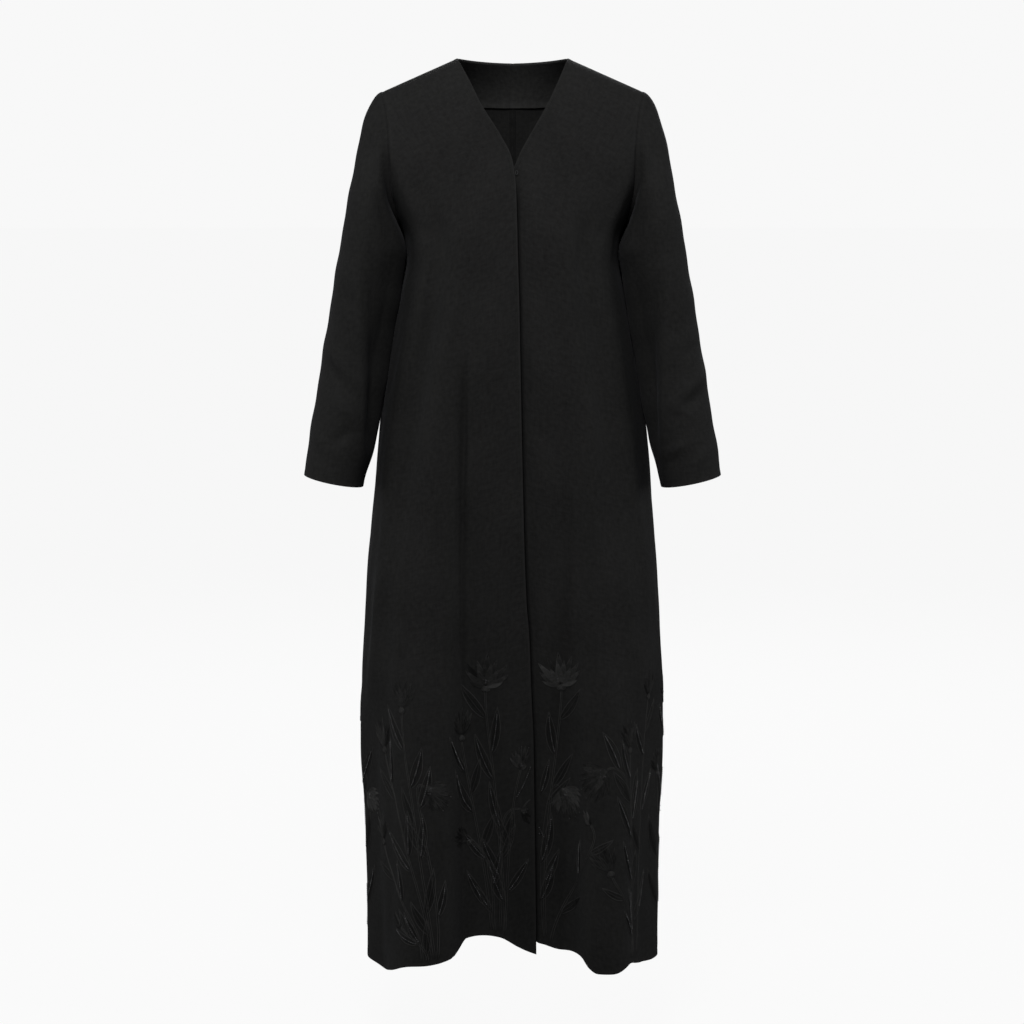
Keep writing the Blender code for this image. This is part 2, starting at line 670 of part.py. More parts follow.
def main():
    for thing in list(bpy.data.objects):
        bpy.data.objects.remove(thing)
    group = bpy.data.collections.new("abaya_cloak")
    bpy.context.scene.collection.children.link(group)
    back_columns, neck = neck_column(COLUMNS_BACK)
    grids = {
        "front_right": panel_grid(COLUMNS_UPPER, -1, 1, HEM_UPPER, False),
        "front_left": panel_grid(COLUMNS_UNDER, 1, 2, HEM_UNDER, False),
        "back_right": panel_grid(back_columns, -1, None, HEM_BACK, True),
        "back_left": panel_grid(back_columns, 1, None, HEM_BACK, True),
    }
    normals = shared_normals(grids)
    for name in grids:
        first = neck if name.startswith("back") else 0
        normals[name][0, first:] = ridge_normal(grids[name][0, first:])
    cloth = {}
    for name in ("front_right", "front_left", "back_right", "back_left", "sleeve_right", "sleeve_left"):
        cloth[name] = cloth_material(name, CLOTH_COLOUR, 0.82)
    last = len(ROW_SHARES)
    sleeves = {}
    for side, sign in (("right", -1.0), ("left", 1.0)):
        flip = np.array([sign, 1.0, 1.0])
        front = grids["front_" + side] * flip
        back = grids["back_" + side] * flip
        n_front = normals["front_" + side] * flip
        n_back = normals["back_" + side] * flip
        loop = np.vstack([front[:last, -1], back[1 : last - 1, -1][::-1]])
        near = np.vstack([front[:last, -2], back[1 : last - 1, -2][::-1]])
        body = np.vstack([n_front[:last, -1], n_back[1 : last - 1, -1][::-1]])
        away = loop - near
        away = unit(away - body * np.sum(away * body, axis=-1, keepdims=True))
        away[0] = unit(np.array([1.0, 0.0, -SHOULDER_SLOPE]))
        trial = sleeve_grid(loop, 0.0 * loop)
        outward = grid_normals(trial, True)[0]
        if outward[0, 2] < 0:
            outward = -outward
        match = np.sum(outward * body, axis=-1)
        flat = ease((match + 0.3) / 0.9)[:, None]
        step = unit(away * flat + body * (1 - flat)) * (SEAM_GAP * 0.75)
        seam_body = unit(body * (1 - flat / 2) + outward * flat / 2)
        seam_sleeve = unit(outward * (1 - flat / 2) + body * flat / 2)
        half = last
        n_front[:last, -1] = seam_body[:last]
        n_back[0, -1] = seam_body[0]
        n_back[1 : last - 1, -1] = seam_body[half:][::-1]
        n_back[last - 1, -1] = seam_body[last - 1]
        normals["front_" + side] = n_front * flip
        normals["back_" + side] = n_back * flip
        points = sleeve_grid(loop, step)
        outward = grid_normals(points, True)
        if outward[0, 0, 2] < 0:
            outward = -outward
        outward[0] = seam_sleeve
        sleeves["sleeve_" + side] = (points * flip, outward * flip)
    for name, points in grids.items():
        outer = points.copy()
        inner = points - normals[name] * WALL
        rows, cols = outer.shape[:2]
        every = np.arange(rows)
        shift_edge(outer, inner, (every, cols - 1), (every, cols - 2), SEAM_GAP / 2)
        if name.startswith("back"):
            shift_edge(outer, inner, (every, 0), (every, 1), SEAM_GAP / 2)
        first = neck if name.startswith("back") else 0
        across = np.arange(first, cols)
        shift_edge(outer, inner, (0, across), (1, across), SEAM_GAP / 2)
        wall_mesh(name, outer, inner, False, cloth[name], group)
    for name, (points, outward) in sleeves.items():
        wall_mesh(name, points, points - outward * WALL, True, cloth[name], group)
    facing = cloth_material("back_neck_facing", FACING_COLOUR, 0.80)
    build_facing(grids, normals, FACING_COLUMNS, facing, group)
    build_hook(cloth_material("neck_hook", HOOK_COLOUR, 0.45, 0.6), group)


main()
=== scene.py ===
"""Open-front abaya cloak of matt black crepe with a stitched and beaded flower border.

+X is to the wearer's left, the front faces -Y, +Z is up, and the origin lies midway between the two high
shoulder points. Lengths are in metres and the tables' angles in degrees, 0 at the front centre.
"""

import functools
import math

import bpy
import numpy as np
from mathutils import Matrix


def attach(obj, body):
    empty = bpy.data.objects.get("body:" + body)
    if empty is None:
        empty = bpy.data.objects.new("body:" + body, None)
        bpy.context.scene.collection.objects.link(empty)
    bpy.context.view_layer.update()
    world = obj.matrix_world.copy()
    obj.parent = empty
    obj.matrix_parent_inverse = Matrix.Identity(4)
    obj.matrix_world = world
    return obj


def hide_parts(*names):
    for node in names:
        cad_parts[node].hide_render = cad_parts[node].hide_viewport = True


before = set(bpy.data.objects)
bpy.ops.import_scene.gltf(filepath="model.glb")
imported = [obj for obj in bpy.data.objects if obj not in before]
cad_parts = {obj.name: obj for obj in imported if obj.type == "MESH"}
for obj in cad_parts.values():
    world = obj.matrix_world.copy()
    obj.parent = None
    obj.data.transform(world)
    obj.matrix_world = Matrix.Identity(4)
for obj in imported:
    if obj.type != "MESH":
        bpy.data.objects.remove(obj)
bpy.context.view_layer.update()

bl_info = {
    "name": "Abaya cloak",
    "version": (1, 0, 0),
    "blender": (4, 5, 0),
    "location": "3D View > Sidebar > Abaya",
    "description": "Cloth, seams, flower border and stage of an open-front cloak",
    "category": "Object",
}

# Sizes of the cloak and its wall; the rows of a panel are settled in a few passes
WALL = 0.0018
RIDGE_Y = 0.010
NECK_HALF = 0.0855
BACK_NECK_DROP = 0.005
SHOULDER_HALF = 0.2010
SHOULDER_SLOPE = 0.44
ROLL_FRONT = 0.130
ROLL_BACK = 0.120
UNDERARM_Z = -0.262
HEM_Z = -1.400
SLEEVE_TILT = math.radians(10.7)
SLEEVE_TURN = math.radians(13.0)
BODY_RADIUS = 0.19
ROW_PASSES = 12

# Reach, depth and thickness of the neck facing, and of the seam allowances below it
FACING_END = 0.53
FACING_IN = 0.0013
FACING_SIDE = 0.118
FACING_DEEPER = 0.148
FACING_THICK = 0.0007
ALLOWANCE_STEPS = (0.0009, 0.0016, 0.0034, 0.0054, 0.0070)
ALLOWANCE_IN = 0.0015
ALLOWANCE_THICK = 0.0004
ALLOWANCE_TOP_ROW = 8
ALLOWANCE_ROW = 60

# Pitch of the weave, the floss and the satin, and shares of the cloth's and the thread's colours
THREAD_PITCH = 0.00055
TWIST_PITCH = 0.0011
SATIN_PITCH = 0.00045
# The facing's crepe is lighter than the cloth: painted light
FACING_LIGHT_SHARE = 2.2
# The inner strips' crepe is darker than the cloth: painted shade
INNER_SHADE_SHARE = 0.75
# The light share of the floss is partly the thread's own tone and partly painted satin sheen
FLOSS_SHARES = (0.14, 3.0)

# Place of the camera, degrees that it looks down, focal length in millimetres
CAMERA_PLACE = (-0.0008, -4.2, -0.2)
CAMERA_DOWN = 6.88
LENS = 94.32

# name, place, point it faces, size, power of each light
LIGHTS = (
    ("key", -0.3, -2.4, 1.8, 0.0, 0.0, -0.6, 1.1, 91.0),
    ("left", -3.1, -0.7, -0.1, 0.0, 0.0, -0.8, 1.2, 32.0),
    ("right", 3.1, -0.7, -0.1, 0.0, 0.0, -0.8, 1.2, 36.0),
    ("rear", 0.3, 3.4, 1.4, 0.0, 0.0, -0.7, 2.0, 120.0),
)

# height, half width, depth of the front, depth of the back, squareness of the section
SECTION = (
    (0.045, 0.266, 0.070, 0.086, 0.03),
    (0.000, 0.262, 0.072, 0.090, 0.03),
    (-0.053, 0.249, 0.079, 0.102, 0.04),
    (-0.106, 0.2335, 0.090, 0.113, 0.05),
    (-0.137, 0.2225, 0.097, 0.118, 0.06),
    (-0.168, 0.2135, 0.105, 0.122, 0.06),
    (-0.199, 0.2030, 0.113, 0.124, 0.06),
    (-0.224, 0.1910, 0.119, 0.124, 0.06),
    (-0.245, 0.1815, 0.123, 0.124, 0.06),
    (-0.262, 0.1725, 0.126, 0.123, 0.06),
    (-0.278, 0.1680, 0.128, 0.122, 0.06),
    (-0.310, 0.1655, 0.130, 0.120, 0.06),
    (-0.357, 0.1735, 0.131, 0.118, 0.06),
    (-0.440, 0.1885, 0.132, 0.118, 0.06),
    (-0.527, 0.2030, 0.133, 0.122, 0.06),
    (-0.575, 0.2095, 0.134, 0.126, 0.06),
    (-0.685, 0.2198, 0.139, 0.136, 0.06),
    (-0.780, 0.2282, 0.144, 0.145, 0.06),
    (-0.876, 0.2336, 0.149, 0.152, 0.06),
    (-0.972, 0.2374, 0.154, 0.159, 0.06),
    (-1.068, 0.2378, 0.158, 0.165, 0.06),
    (-1.166, 0.2348, 0.162, 0.170, 0.06),
    (-1.263, 0.2332, 0.164, 0.175, 0.06),
    (-1.440, 0.2328, 0.166, 0.181, 0.06),
)

# height, x of the armhole edge
ARMHOLE = (
    (-0.0508, 0.2010),
    (-0.0570, 0.2003),
    (-0.0757, 0.1957),
    (-0.1063, 0.1915),
    (-0.1366, 0.1890),
    (-0.1680, 0.1880),
    (-0.1993, 0.1867),
    (-0.2244, 0.1832),
    (-0.2453, 0.1785),
    (-0.2620, 0.1725),
)

# height, x of the upper front's edge, x of the under front's edge
FRONT_EDGE = (
    (0.000, -0.0855, 0.0855),
    (-0.0350, -0.0662, 0.0706),
    (-0.0717, -0.0480, 0.0535),
    (-0.1111, -0.0232, 0.0312),
    (-0.1256, -0.0146, 0.0228),
    (-0.1444, -0.0044, 0.0126),
    (-0.1600, 0.0006, 0.0058),
    (-0.1720, 0.0024, 0.0002),
    (-0.1900, 0.0048, -0.0098),
    (-0.2100, 0.0058, -0.0180),
    (-0.2400, 0.0066, -0.0225),
    (-0.2930, 0.0078, -0.0232),
    (-0.3680, 0.0100, -0.0210),
    (-0.5200, 0.0130, -0.0180),
    (-0.6430, 0.0156, -0.0154),
    (-0.7355, 0.0178, -0.0132),
    (-0.8395, 0.0220, -0.0090),
    (-0.8847, 0.0258, -0.0052),
    (-0.9848, 0.0294, -0.0016),
    (-1.0477, 0.0325, 0.0015),
    (-1.2218, 0.0351, 0.0041),
    (-1.4400, 0.0380, 0.0070),
)

# angle, height of the hem
HEM_UPPER = (
    (-90, -1.4120),
    (-75, -1.4200),
    (-64, -1.4250),
    (-54, -1.4180),
    (-40, -1.4010),
    (-33, -1.3985),
    (-29, -1.3950),
    (-26, -1.3910),
    (-23.5, -1.3880),
    (-20.5, -1.3740),
    (-18, -1.3670),
    (-12, -1.3625),
    (-5, -1.3665),
    (2, -1.3815),
    (6, -1.3890),
    (11, -1.3965),
)
HEM_UNDER = (
    (-10, -1.3660),
    (3, -1.3720),
    (12, -1.3785),
    (19, -1.3865),
    (24, -1.3880),
    (26.5, -1.3895),
    (29.5, -1.4030),
    (33, -1.4115),
    (39, -1.4125),
    (46, -1.4070),
    (50, -1.4045),
    (57, -1.4095),
    (64, -1.4145),
    (72, -1.4160),
    (80, -1.4140),
    (90, -1.4120),
)
HEM_BACK = (
    (90, -1.4120),
    (112, -1.4020),
    (131, -1.4060),
    (150, -1.3960),
    (166, -1.4010),
    (180, -1.3960),
    (196, -1.4020),
    (213, -1.3950),
    (231, -1.4070),
    (250, -1.4010),
    (270, -1.4120),
)

# starts at z, full at z, fades from z, gone at z, angle at the start, angle at the end, offset, half width
FOLDS = (
    (-0.15, -0.30, -0.60, -0.88, -41, -53, -0.0120, 7.0),
    (-0.30, -0.46, -0.62, -0.90, -31, -35, 0.0060, 8.0),
    (-0.16, -0.34, -0.60, -0.88, 41, 48, -0.0110, 7.0),
    (-0.28, -0.44, -0.60, -0.90, 31, 33, 0.0050, 8.0),
    (-0.40, -0.66, -0.90, -1.20, -16, -15, -0.0040, 5.0),
    (-0.74, -0.82, -0.92, -1.06, -58, -74, 0.0055, 6.0),
    (-0.72, -0.82, -0.92, -1.06, 47, 62, 0.0055, 6.0),
    (-0.70, -1.36, -2.00, -2.10, -38, -40, 0.0190, 12.0),
    (-0.72, -1.36, -2.00, -2.10, 39, 41, 0.0210, 11.0),
    (-0.80, -1.36, -2.00, -2.10, -69, -66, -0.0090, 8.0),
    (-0.84, -1.36, -2.00, -2.10, 66, 64, -0.0080, 7.0),
    (-0.92, -1.05, -1.08, -1.22, -88, -88, 0.0035, 10.0),
    (-0.60, -1.36, -2.00, -2.10, 111, 113, -0.0150, 9.0),
    (-0.50, -1.36, -2.00, -2.10, 131, 133, 0.0160, 10.0),
    (-0.42, -1.36, -2.00, -2.10, 152, 151, -0.0240, 9.0),
    (-0.46, -1.36, -2.00, -2.10, 170, 168, 0.0130, 8.0),
    (-0.46, -1.36, -2.00, -2.10, 194, 195, 0.0160, 8.0),
    (-0.38, -1.36, -2.00, -2.10, 209, 212, -0.0260, 9.0),
    (-0.52, -1.36, -2.00, -2.10, 229, 231, 0.0170, 10.0),
    (-0.64, -1.36, -2.00, -2.10, 248, 250, -0.0140, 9.0),
    (-0.16, -0.30, -0.44, -0.72, 138, 146, -0.0090, 8.0),
    (-0.17, -0.32, -0.42, -0.70, 222, 215, -0.0080, 8.0),
)

# The middle of the skirt falls back between its two side lobes
SETBACK_START = -0.42
SETBACK_FULL = -1.40
SETBACK_DEPTH = 0.052
SETBACK_LEFT = -21.0
SETBACK_RIGHT = 26.5
SETBACK_BLEND = 3.0

# height of the axis, x of the axis, y of the axis, half width, half depth of the sleeve tube
SLEEVE = (
    (-0.300, 0.2170, -0.0200, 0.0515, 0.0690),
    (-0.360, 0.2265, -0.0215, 0.0517, 0.0700),
    (-0.440, 0.2398, -0.0235, 0.0518, 0.0700),
    (-0.520, 0.2530, -0.0260, 0.0518, 0.0680),
    (-0.580, 0.2636, -0.0285, 0.0512, 0.0655),
    (-0.630, 0.2748, -0.0320, 0.0480, 0.0615),
    (-0.6525, 0.2792, -0.0340, 0.0467, 0.0600),
)

# part of the way around, outward reach at the armhole, reach above the first ring, direction at the armhole
SLEEVE_HEAD = (
    (0.00, 0.034, 0.120, 0.98, 0.00, -0.18),
    (0.25, 0.030, 0.100, 0.92, -0.18, -0.35),
    (0.50, 0.026, 0.070, 0.85, -0.25, -0.47),
    (0.75, 0.018, 0.045, 0.72, -0.10, -0.69),
    (1.00, 0.009, 0.020, 0.15, 0.00, -0.99),
)

# x and z of each end of a crease in the sleeve seen from its face, face, offset, half width
SLEEVE_CREASES = (
    (0.226, -0.120, 0.186, -0.275, -1, -0.0070, 0.013),
    (0.232, -0.130, 0.196, -0.270, 1, -0.0060, 0.014),
    (0.252, -0.300, 0.231, -0.470, -1, -0.0035, 0.014),
    (0.205, -0.400, 0.275, -0.440, 1, -0.0040, 0.014),
)

# The same columns as FOLDS, for the small folds and ridges between the large ones
FINE_FOLDS = (
    (-0.10, -0.22, -0.34, -0.52, -52, -47, -0.0022, 3.5),
    (-0.22, -0.36, -0.70, -1.00, -24, -27, -0.0020, 4.0),
    (-0.34, -0.50, -0.80, -1.10, -62, -66, 0.0026, 4.5),
    (-0.55, -0.75, -1.10, -1.35, -8, -9, -0.0018, 3.0),
    (-0.45, -0.62, -0.90, -1.15, -46, -50, 0.0034, 4.0),
    (-0.85, -1.10, -2.00, -2.10, -52, -54, -0.0020, 5.0),
    (-0.17, -0.23, -0.38, -0.50, 99, 98, 0.0130, 5.0),
    (-0.40, -0.62, -2.00, -2.10, -22.0, -20.8, -0.0150, 2.3),
    (-0.17, -0.23, -0.38, -0.50, 261, 262, 0.0130, 5.0),
    (-0.90, -1.20, -2.00, -2.10, -28, -27, 0.0030, 3.5),
    (-1.00, -1.25, -2.00, -2.10, -13, -14, 0.0028, 4.0),
    (-0.78, -1.00, -2.00, -2.10, -80, -79, 0.0032, 4.0),
    (-0.12, -0.24, -0.38, -0.55, 54, 49, -0.0011, 3.5),
    (-0.26, -0.42, -0.72, -1.02, 22, 26, -0.0018, 4.0),
    (-0.36, -0.52, -0.82, -1.12, 60, 66, 0.0024, 4.5),
    (-0.50, -0.70, -1.05, -1.30, 9, 8, -0.0018, 3.5),
    (-0.46, -0.64, -0.92, -1.18, 47, 51, 0.0024, 4.0),
    (-0.85, -1.12, -2.00, -2.10, 52, 53, -0.0038, 4.0),
    (-0.95, -1.22, -2.00, -2.10, 30, 28, 0.0030, 3.5),
    (-1.02, -1.28, -2.00, -2.10, 15, 16, 0.0022, 4.0),
    (-0.80, -1.05, -2.00, -2.10, 80, 78, 0.0030, 4.0),
    (-0.30, -0.50, -0.95, -1.25, 120, 124, 0.0030, 4.5),
    (-0.40, -0.60, -1.00, -1.30, 142, 141, -0.0026, 4.0),
    (-0.50, -0.80, -2.00, -2.10, 161, 160, 0.0035, 4.0),
    (-0.35, -0.55, -1.10, -1.35, 181, 183, -0.0022, 4.0),
    (-0.48, -0.75, -2.00, -2.10, 203, 204, 0.0034, 4.5),
    (-0.33, -0.55, -1.05, -1.30, 221, 222, -0.0030, 4.0),
    (-0.42, -0.66, -2.00, -2.10, 239, 241, 0.0032, 4.0),
    (-0.70, -0.95, -2.00, -2.10, 258, 259, 0.0026, 4.0),
    (-0.14, -0.26, -0.36, -0.50, 166, 170, -0.0020, 4.0),
    (-0.13, -0.25, -0.35, -0.52, 197, 192, -0.0018, 4.0),
)

# angle and height of each end of a drag line in the body cloth, offset, half width
DRAG_LINES = (
    (-68, -0.232, -40, -0.292, -0.0016, 0.010),
    (-60, -0.190, -36, -0.215, -0.0010, 0.010),
    (-28, -0.045, -50, -0.170, -0.0011, 0.012),
    (66, -0.236, 40, -0.300, -0.0009, 0.010),
    (58, -0.185, 34, -0.205, -0.0009, 0.009),
    (30, -0.048, 49, -0.165, -0.0010, 0.012),
    (-62, -0.862, -42, -0.905, 0.0016, 0.015),
    (40, -0.880, 60, -0.935, 0.0015, 0.014),
    (-80, -0.700, -62, -0.760, -0.0012, 0.013),
    (76, -0.640, 60, -0.700, -0.0012, 0.012),
    (-30, -1.180, -14, -1.205, 0.0012, 0.013),
    (20, -1.020, 36, -1.060, -0.0012, 0.013),
    (110, -0.270, 140, -0.330, -0.0016, 0.011),
    (250, -0.275, 222, -0.325, -0.0015, 0.011),
    (128, -0.640, 150, -0.690, 0.0014, 0.014),
    (205, -0.820, 232, -0.880, -0.0014, 0.013),
    (152, -1.060, 176, -1.090, 0.0013, 0.014),
)

# size, turns round the body, rate down the height, phase of the slow waves of hung cloth
DRIFT = (
    (0.00070, 9, 11.0, 0.4),
    (0.00050, 14, -17.0, 1.9),
    (0.00035, 23, 31.0, 4.1),
    (0.00022, 37, -47.0, 2.2),
)

# x and z of each end of a small crease on the wearer's left, face, offset, half width, side it is on (0 both)
FINE_CREASES = (
    (0.286, -0.439, 0.246, -0.494, -1, 0.0044, 0.009, -1),
    (0.292, -0.462, 0.252, -0.515, -1, -0.0031, 0.009, -1),
    (0.268, -0.525, 0.255, -0.548, -1, 0.0031, 0.007, -1),
    (0.310, -0.575, 0.280, -0.608, -1, 0.0037, 0.009, -1),
    (0.280, -0.590, 0.246, -0.570, -1, -0.0037, 0.009, -1),
    (0.262, -0.350, 0.246, -0.395, -1, -0.0027, 0.010, -1),
    (0.296, -0.482, 0.249, -0.526, -1, 0.0051, 0.010, 1),
    (0.300, -0.505, 0.262, -0.540, -1, -0.0037, 0.008, 1),
    (0.240, -0.530, 0.278, -0.545, -1, 0.0037, 0.008, 1),
    (0.235, -0.607, 0.274, -0.588, -1, 0.0041, 0.009, 1),
    (0.290, -0.440, 0.262, -0.455, -1, -0.0034, 0.009, 1),
    (0.300, -0.600, 0.282, -0.625, -1, 0.0031, 0.008, 1),
    (0.232, -0.350, 0.282, -0.372, 1, 0.0041, 0.011, 0),
    (0.236, -0.455, 0.284, -0.470, 1, 0.0026, 0.011, 1),
    (0.240, -0.478, 0.280, -0.500, 1, 0.0029, 0.010, -1),
    (0.246, -0.500, 0.290, -0.545, 1, -0.0041, 0.010, 0),
    (0.250, -0.590, 0.300, -0.606, 1, 0.0031, 0.010, 0),
)

# z, x of the line on the left sleeve's front where its face turns in, how far in, how far it leans back
SLEEVE_TURN_IN = (
    (-0.200, 0.236, 0.000, 0.000),
    (-0.250, 0.232, 0.004, 0.012),
    (-0.300, 0.234, 0.007, 0.014),
    (-0.380, 0.236, 0.012, 0.016),
    (-0.470, 0.231, 0.016, 0.016),
    (-0.560, 0.231, 0.016, 0.014),
    (-0.640, 0.234, 0.010, 0.008),
    (-0.700, 0.238, 0.004, 0.000),
)

# Distances from a turned edge at which the grids have closer lines
EDGE_STEPS = (0.0007, 0.0016, 0.0028, 0.0045, 0.0060, 0.0078, 0.0100)

# Relief of hems and seams
HEM_BAND = 0.0060
HEM_RISE = 0.00035
SEAM_DEPTH = 0.0009
SEAM_WIDTH = 0.0022

# The lap: clearance, heights where it and its shade start, rolled edge, depth and widths of the shade
LAP_CLEAR = 0.0008
LAP_START = -0.135
LAP_SHADE_START = -0.16
LAP_ROLL = 0.0003
LAP_SHADE = 0.0100
LAP_SHADE_WIDTH = 0.0026
LAP_SHADE_TAIL = 0.011

# Numbers of grid lines
YOKE_ROWS = 34
SKIRT_ROWS = 150
PANEL_COLUMNS = 84
SLEEVE_HEAD_STEPS = 34
SLEEVE_TUBE_STEPS = 74

# node, width of the cut, length of the cut, its flat area
CUTS = (
    ("front_right", 0.410, 1.440, 0.434),
    ("front_left", 0.370, 1.430, 0.420),
    ("back_right", 0.380, 1.425, 0.419),
    ("back_left", 0.375, 1.425, 0.417),
    ("sleeve_right", 0.390, 0.620, 0.1895),
    ("sleeve_left", 0.390, 0.620, 0.1895),
    ("back_neck_facing", 0.270, 0.115, 0.0234),
)

# kind, angle and height of the flower's foot, size, lean, angle of its root at the hem, bow of its stem
FLOWERS = (
    ("open", -10.2, -0.974, 0.047, 4, -5, 0.012),
    ("open", 18.6, -0.972, 0.048, -3, 13, -0.010),
    ("thistle", -44.5, -1.006, 0.044, 4, -30, -0.020),
    ("thistle", -57.0, -1.074, 0.044, -8, -31, -0.014),
    ("thistle", -20.0, -1.052, 0.042, -6, -8, -0.012),
    ("bell", -33.0, -1.118, 0.040, 128, -29, 0.016),
    ("thistle", -60.0, -1.222, 0.042, -16, -35, 0.004),
    ("bud", -45.0, -1.340, 0.028, -52, -33, 0.002),
    ("thistle", -15.5, -1.214, 0.036, -62, -7, -0.004),
    ("bell", 3.2, -1.096, 0.034, 18, -3, 0.006),
    ("bell", 3.4, -1.160, 0.032, 104, -3, 0.004),
    ("bell", 19.0, -1.128, 0.046, 150, 12, -0.014),
    ("bud", 9.0, -1.062, 0.026, -14, 11, -0.004),
    ("bell", 36.0, -1.092, 0.050, -128, 51, 0.030),
    ("thistle", 48.6, -1.070, 0.043, -4, 54, -0.008),
    ("thistle", 62.5, -0.992, 0.038, 3, 57, 0.010),
    ("thistle", 38.5, -1.258, 0.044, -26, 53, 0.010),
    ("bud", 30.0, -1.176, 0.024, -40, 15, 0.010),
    ("open", 84.0, -1.010, 0.046, 6, 78, 0.010),
    ("thistle", 75.0, -1.120, 0.036, -12, 79, -0.006),
    ("thistle", -84.0, -1.040, 0.040, -4, -79, -0.012),
    ("bell", -76.0, -1.150, 0.036, 118, -80, 0.010),
    ("open", 104.0, -0.972, 0.048, -4, 100, -0.014),
    ("thistle", 114.0, -1.060, 0.040, 8, 102, 0.012),
    ("bell", 96.0, -1.160, 0.036, -120, 101, -0.008),
    ("thistle", 128.0, -0.998, 0.044, -5, 134, -0.012),
    ("bell", 138.0, -1.084, 0.042, 126, 135, 0.016),
    ("thistle", 124.0, -1.206, 0.036, -22, 134, -0.006),
    ("open", 152.0, -0.956, 0.054, 4, 158, 0.012),
    ("thistle", 164.0, -1.044, 0.040, 6, 159, 0.008),
    ("bell", 148.0, -1.170, 0.036, -112, 157, -0.010),
    ("open", 182.0, -0.982, 0.050, -3, 186, -0.012),
    ("thistle", 192.0, -1.080, 0.038, 8, 187, 0.010),
    ("bud", 176.0, -1.190, 0.026, -26, 185, -0.006),
    ("thistle", 208.0, -0.974, 0.046, 5, 212, 0.014),
    ("bell", 200.0, -1.110, 0.040, -122, 211, -0.016),
    ("thistle", 219.0, -1.190, 0.036, 18, 213, 0.006),
    ("open", 234.0, -0.962, 0.052, -5, 238, -0.010),
    ("thistle", 246.0, -1.048, 0.040, 10, 239, 0.012),
    ("bell", 228.0, -1.140, 0.036, -116, 237, -0.008),
    ("thistle", 260.0, -1.010, 0.042, 3, 262, 0.010),
    ("bud", 252.0, -1.210, 0.026, -20, 261, -0.006),
)
LEAF_SEED = 23

# For each kind of flower: lean, length, width, bend and layer of its petals; layer 2 grows from the foot
PETALS = {
    "open": (
        (-70, 0.84, 0.086, 26, 0), (-47, 1.00, 0.098, 13, 0), (-23, 0.94, 0.106, 5, 0),
        (0, 1.14, 0.124, -2, 0),
        (24, 0.98, 0.106, -6, 0), (47, 1.02, 0.098, -13, 0), (70, 0.82, 0.086, -27, 0),
        (-35, 0.66, 0.094, 9, 1), (-11, 0.80, 0.100, 3, 1), (13, 0.78, 0.100, -4, 1),
        (36, 0.66, 0.094, -10, 1),
        (-96, 0.60, 0.060, 42, 1), (94, 0.58, 0.060, -44, 1),
    ),
    "thistle": (
        (-54, 0.70, 0.052, 24, 0), (-38, 0.90, 0.060, 12, 0), (-22, 0.98, 0.066, 6, 0),
        (-6, 1.06, 0.070, 2, 0), (9, 1.04, 0.070, -3, 0),
        (24, 0.96, 0.066, -7, 0), (39, 0.88, 0.060, -12, 0), (55, 0.68, 0.052, -25, 0),
        (-28, 0.62, 0.062, 8, 1), (-10, 0.72, 0.068, 3, 1),
        (10, 0.72, 0.068, -3, 1), (28, 0.62, 0.062, -8, 1),
    ),
    "bell": (
        (-78, 0.70, 0.060, 34, 0), (-60, 0.84, 0.072, 22, 0), (-42, 0.92, 0.080, 12, 0),
        (-24, 0.98, 0.084, 6, 0), (-7, 1.02, 0.088, 2, 0), (11, 1.00, 0.086, -3, 0),
        (28, 0.95, 0.082, -7, 0), (46, 0.90, 0.076, -13, 0),
        (63, 0.82, 0.070, -23, 0), (80, 0.68, 0.058, -34, 0),
        (-33, 0.66, 0.080, 8, 1), (-11, 0.72, 0.086, 2, 1),
        (12, 0.72, 0.086, -3, 1), (34, 0.66, 0.080, -8, 1),
        (-46, 0.30, 0.055, 16, 2), (-15, 0.34, 0.058, 4, 2),
        (16, 0.34, 0.058, -4, 2), (47, 0.30, 0.055, -16, 2),
    ),
    "bud": (
        (-20, 0.88, 0.080, 10, 0), (20, 0.88, 0.080, -10, 0), (0, 1.02, 0.096, 1, 1),
        (-42, 0.48, 0.055, 22, 2), (42, 0.48, 0.055, -22, 2),
    ),
}

# Lanes of the strokes up a petal of each kind, -1 and 1 at its edges
LANES = {
    "open": (-0.66, -0.33, 0.0, 0.33, 0.66),
    "thistle": (0.0,),
    "bell": (-0.5, 0.0, 0.5),
    "bud": (-0.45, 0.0, 0.45),
}

# Tone of each kind of flower, partly painted satin sheen, and height and half width of its cup as shares of
# its size
TONE = {"open": 0.40, "thistle": 0.24, "bell": 0.34, "bud": 0.34}
CUP_TOP = {"open": 0.18, "thistle": 0.22, "bell": 0.04, "bud": 0.03}
CUP_WIDE = {"open": 0.13, "thistle": 0.120, "bell": 0.0, "bud": 0.0}

# Radii and lifts of threads, filled faces and beads
OUTLINE_RADIUS = 0.00055
VEIN_RADIUS = 0.00042
STEM_RADIUS = 0.00048
PAD_HEIGHT = 0.00040
VEIN_LIFT = 0.00018
LAYER_LIFT = 0.00030
CUP_LIFT = 0.0005
CUP_STITCH_LIFT = 0.00085
TASSEL_LIFT = 0.0006
MIDRIB_LIFT = 0.0003
HEART_BEADS = 7
BEAD_RADIUS = 0.00085
BEAD_PITCH = 0.0030

# Leaves: least and most length, width as a share of it, degrees of spread and bend, shares up a stem
LEAF_LENGTH = (0.057, 0.087)
LEAF_WIDTH = (0.088, 0.120)
LEAF_SPREAD = (20.0, 38.0)
LEAF_BEND = (4.0, 24.0)
LEAF_PLACES = (0.16, 0.42, 0.68)
TALL_LEAF_PLACES = (0.12, 0.29, 0.46, 0.62, 0.78)
SHORT_STEM = 0.20
TALL_STEM = 0.30

# Tones of the thread, 0 dark to 1 light, partly the thread's own and partly painted satin sheen; every tenth
# flower is lighter than its kind
LEAF_TONE = 0.08
LEAF_EDGE_TONE = 0.54
MIDRIB_TONE = 0.40
LEAF_STITCH_TONE = 0.24
STEM_TONE = 0.60
LIGHTER = 0.25

